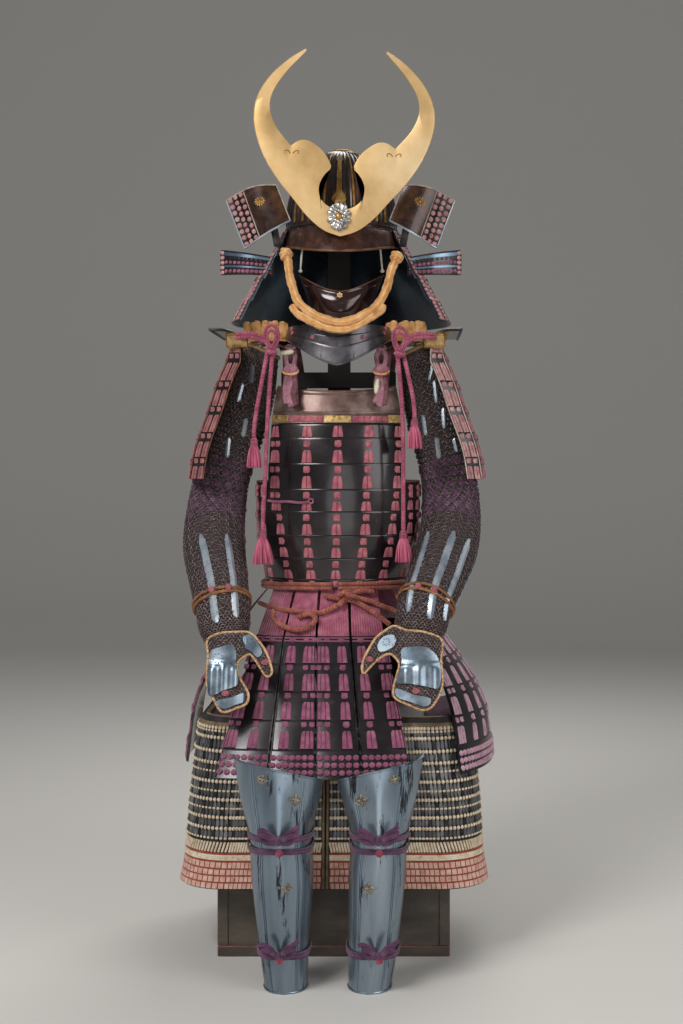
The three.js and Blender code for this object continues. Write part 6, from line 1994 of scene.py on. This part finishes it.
def shin_guard(name, shin):
    surface = Surface(lambda u, v: shin_point(shin, np.clip(u, 0.001, 0.999), v), (shin["tieX"], SHIN_Y, 200))
    shape = Shape()
    us = np.unique(np.concatenate([evenly(44, 0.002, 0.998), [0.295, 0.305, 0.695, 0.705]]))
    rows = [(v, 0.0) for v in evenly(48, 0.0, 0.985)] + [(1.0, 0.4)]
    groove = np.exp(-((us - 0.3) / 0.006) ** 2) + np.exp(-((us - 0.7) / 0.006) ** 2)
    u, v = np.meshgrid(us, [r[0] for r in rows])
    ridge = 3.0 * np.exp(-((us - 0.5) / 0.07) ** 2)
    outer = surface.at(u, v, (ridge - 1.2 * groove)[None] * np.clip((1 - v) * 8, 0, 1))
    shape.shell(outer, surface.at(u, v, -2.2), inner_slot=1)
    for u0 in (0.3, 0.7):
        for shift in (-0.011, 0.011):
            shape.tube(surface.down(u0 + shift, 40, 0.6, 0.01, 0.97), 1.1, 6, 0)
    for x, z in ((shin["outer"] * 55.5, 346), (shin["outer"] * 71.7, 190), (shin["outer"] * 113, 369)):
        v0 = z / 391
        x0, half = (float(along(shin["rows"], z, k)) for k in ("x", "half"))
        u0 = 0.5 + math.degrees(math.asin(np.clip((x - x0) / half, -0.98, 0.98))) / 180
        p = surface.at(u0, v0, 1.8)
        side, up, n = surface.axes(u0, v0)
        size = 0.8 if z > 360 else 1.0
        for a in range(4):
            out = side * math.cos(a * math.pi / 2) + up * math.sin(a * math.pi / 2)
            shape.petal(p + out * 5.0 * size, (5.0 * size, 2.6 * size, 1.2), 2, out, n)
        shape.ball(p + n * 0.6, (2.2, 2.2, 1.6), 2, 8, 5, np.stack([side, up, n]))
        corners = [p + side * 13 * size, p + up * 10.5 * size, p - side * 13 * size, p - up * 10.5 * size]
        for k in range(4):
            shape.tube(np.linspace(corners[k], corners[(k + 1) % 4], 6) - n * 0.6, 0.9, 6, 2)
    for level, radius in ((0.996, 1.9), (0.006, 1.7)):
        shape.tube(surface.across(level, 51, 0.2, 0.01, 0.99), radius, 8, 0)
    shape.make(f"shin_guard_{name}_look", [SHIN_STEEL, BROWN_LEATHER, MOUNT], f"shin_guard_{name}")


def shin_tie(name, shin, z, high, label):
    x, half, deep = (float(along(shin["rows"], z, k)) for k in ("x", "half", "deep"))
    lift = 4.0  # how far the tie stands off the shin guard's face
    shape = Shape()
    upper = label == "upper"
    for level, tall in (((z + 11, 9.5), (z - 10, 9.5)) if upper else ((z, high),)):

        def point(u, v, level=level, tall=tall):
            a = np.asarray(u, float) * 2 * math.pi
            s, c = np.sin(a), np.cos(a)
            front = np.where(c > 0, (deep + lift) * np.abs(c) ** 0.8, -26 * np.abs(c) ** 0.6)
            return xyz(x + (half + lift) * s, SHIN_Y - front, level + tall * (0.5 - np.asarray(v, float))
                       + 1.5 * np.cos(3 * a) - 3 * np.cos(a))

        surface = Surface(point, (x, SHIN_Y, level))
        u, v = np.meshgrid(evenly(80)[:-1], evenly(8))
        crease = 0.8 * np.sin(v * 11 + 2.5 * np.sin(u * 12))
        shape.shell(surface.at(u, v, crease), surface.at(u, v, crease - 1.4), ring=True)
    y = SHIN_Y - deep - lift - 4
    tie_x, tie_z = shin["tieX"], z + (8 if upper else 2)
    ball_z = z - (12 if upper else 6)
    shape.ball((tie_x, y - 2, tie_z), (8.5, 6, 7), 0, 14, 9)
    shape.ball((tie_x + 2, y - 3, ball_z), (6.5, 5.5, 6.5), 1, 14, 9)
    shape.torus((tie_x, y - 3, tie_z), 5.6, 2.6, (1, 0, 0.15), 0, 16, 8)
    reach = 32 if upper else 26
    for s in (-1, 1):
        for extra in (0, 5):  # the loop's two turns
            loop = smooth_path([(tie_x + s * 5, y - 2, tie_z),
                                (tie_x + s * reach * 0.55, y - 8 - extra, tie_z + 15 - extra),
                                (tie_x + s * reach, y - 5 - extra, tie_z + 17 - extra),
                                (tie_x + s * reach * 0.62, y - 6, tie_z + 4 - extra),
                                (tie_x + s * 6, y - 3, tie_z - 3)], 26)
            shape.tube(loop, 4.2, 8, 0, flat=0.34, up=(0, -1, 0))
        tail = smooth_path([(tie_x + s * 4, y - 4, tie_z + 2), (tie_x + s * 12, y - 9, tie_z + 12),
                            (tie_x + s * 26, y - 8, tie_z + 21),
                            (tie_x + s * 34, y - 4, tie_z + (26 if s > 0 else 18))], 16)
        shape.tube(tail, 4.0, 8, 0, flat=0.3, up=(0, -1, 0))
    shape.make(f"shin_tie_{name}_{label}_look", [TIE, CRIMSON], f"shin_tie_{name}_{label}")


for hand in (-1, 1):
    shoulder_strap(hand)
    shoulder_guard(hand)
    sleeve(hand)
    hand_guard(hand)
    thigh_guard(hand)
knots_and_cords()
for leg, guard in SHINS.items():
    shin_guard(leg, guard)
    shin_tie(leg, guard, 258, 16, "upper")
    shin_tie(leg, guard, 68, 11, "lower")
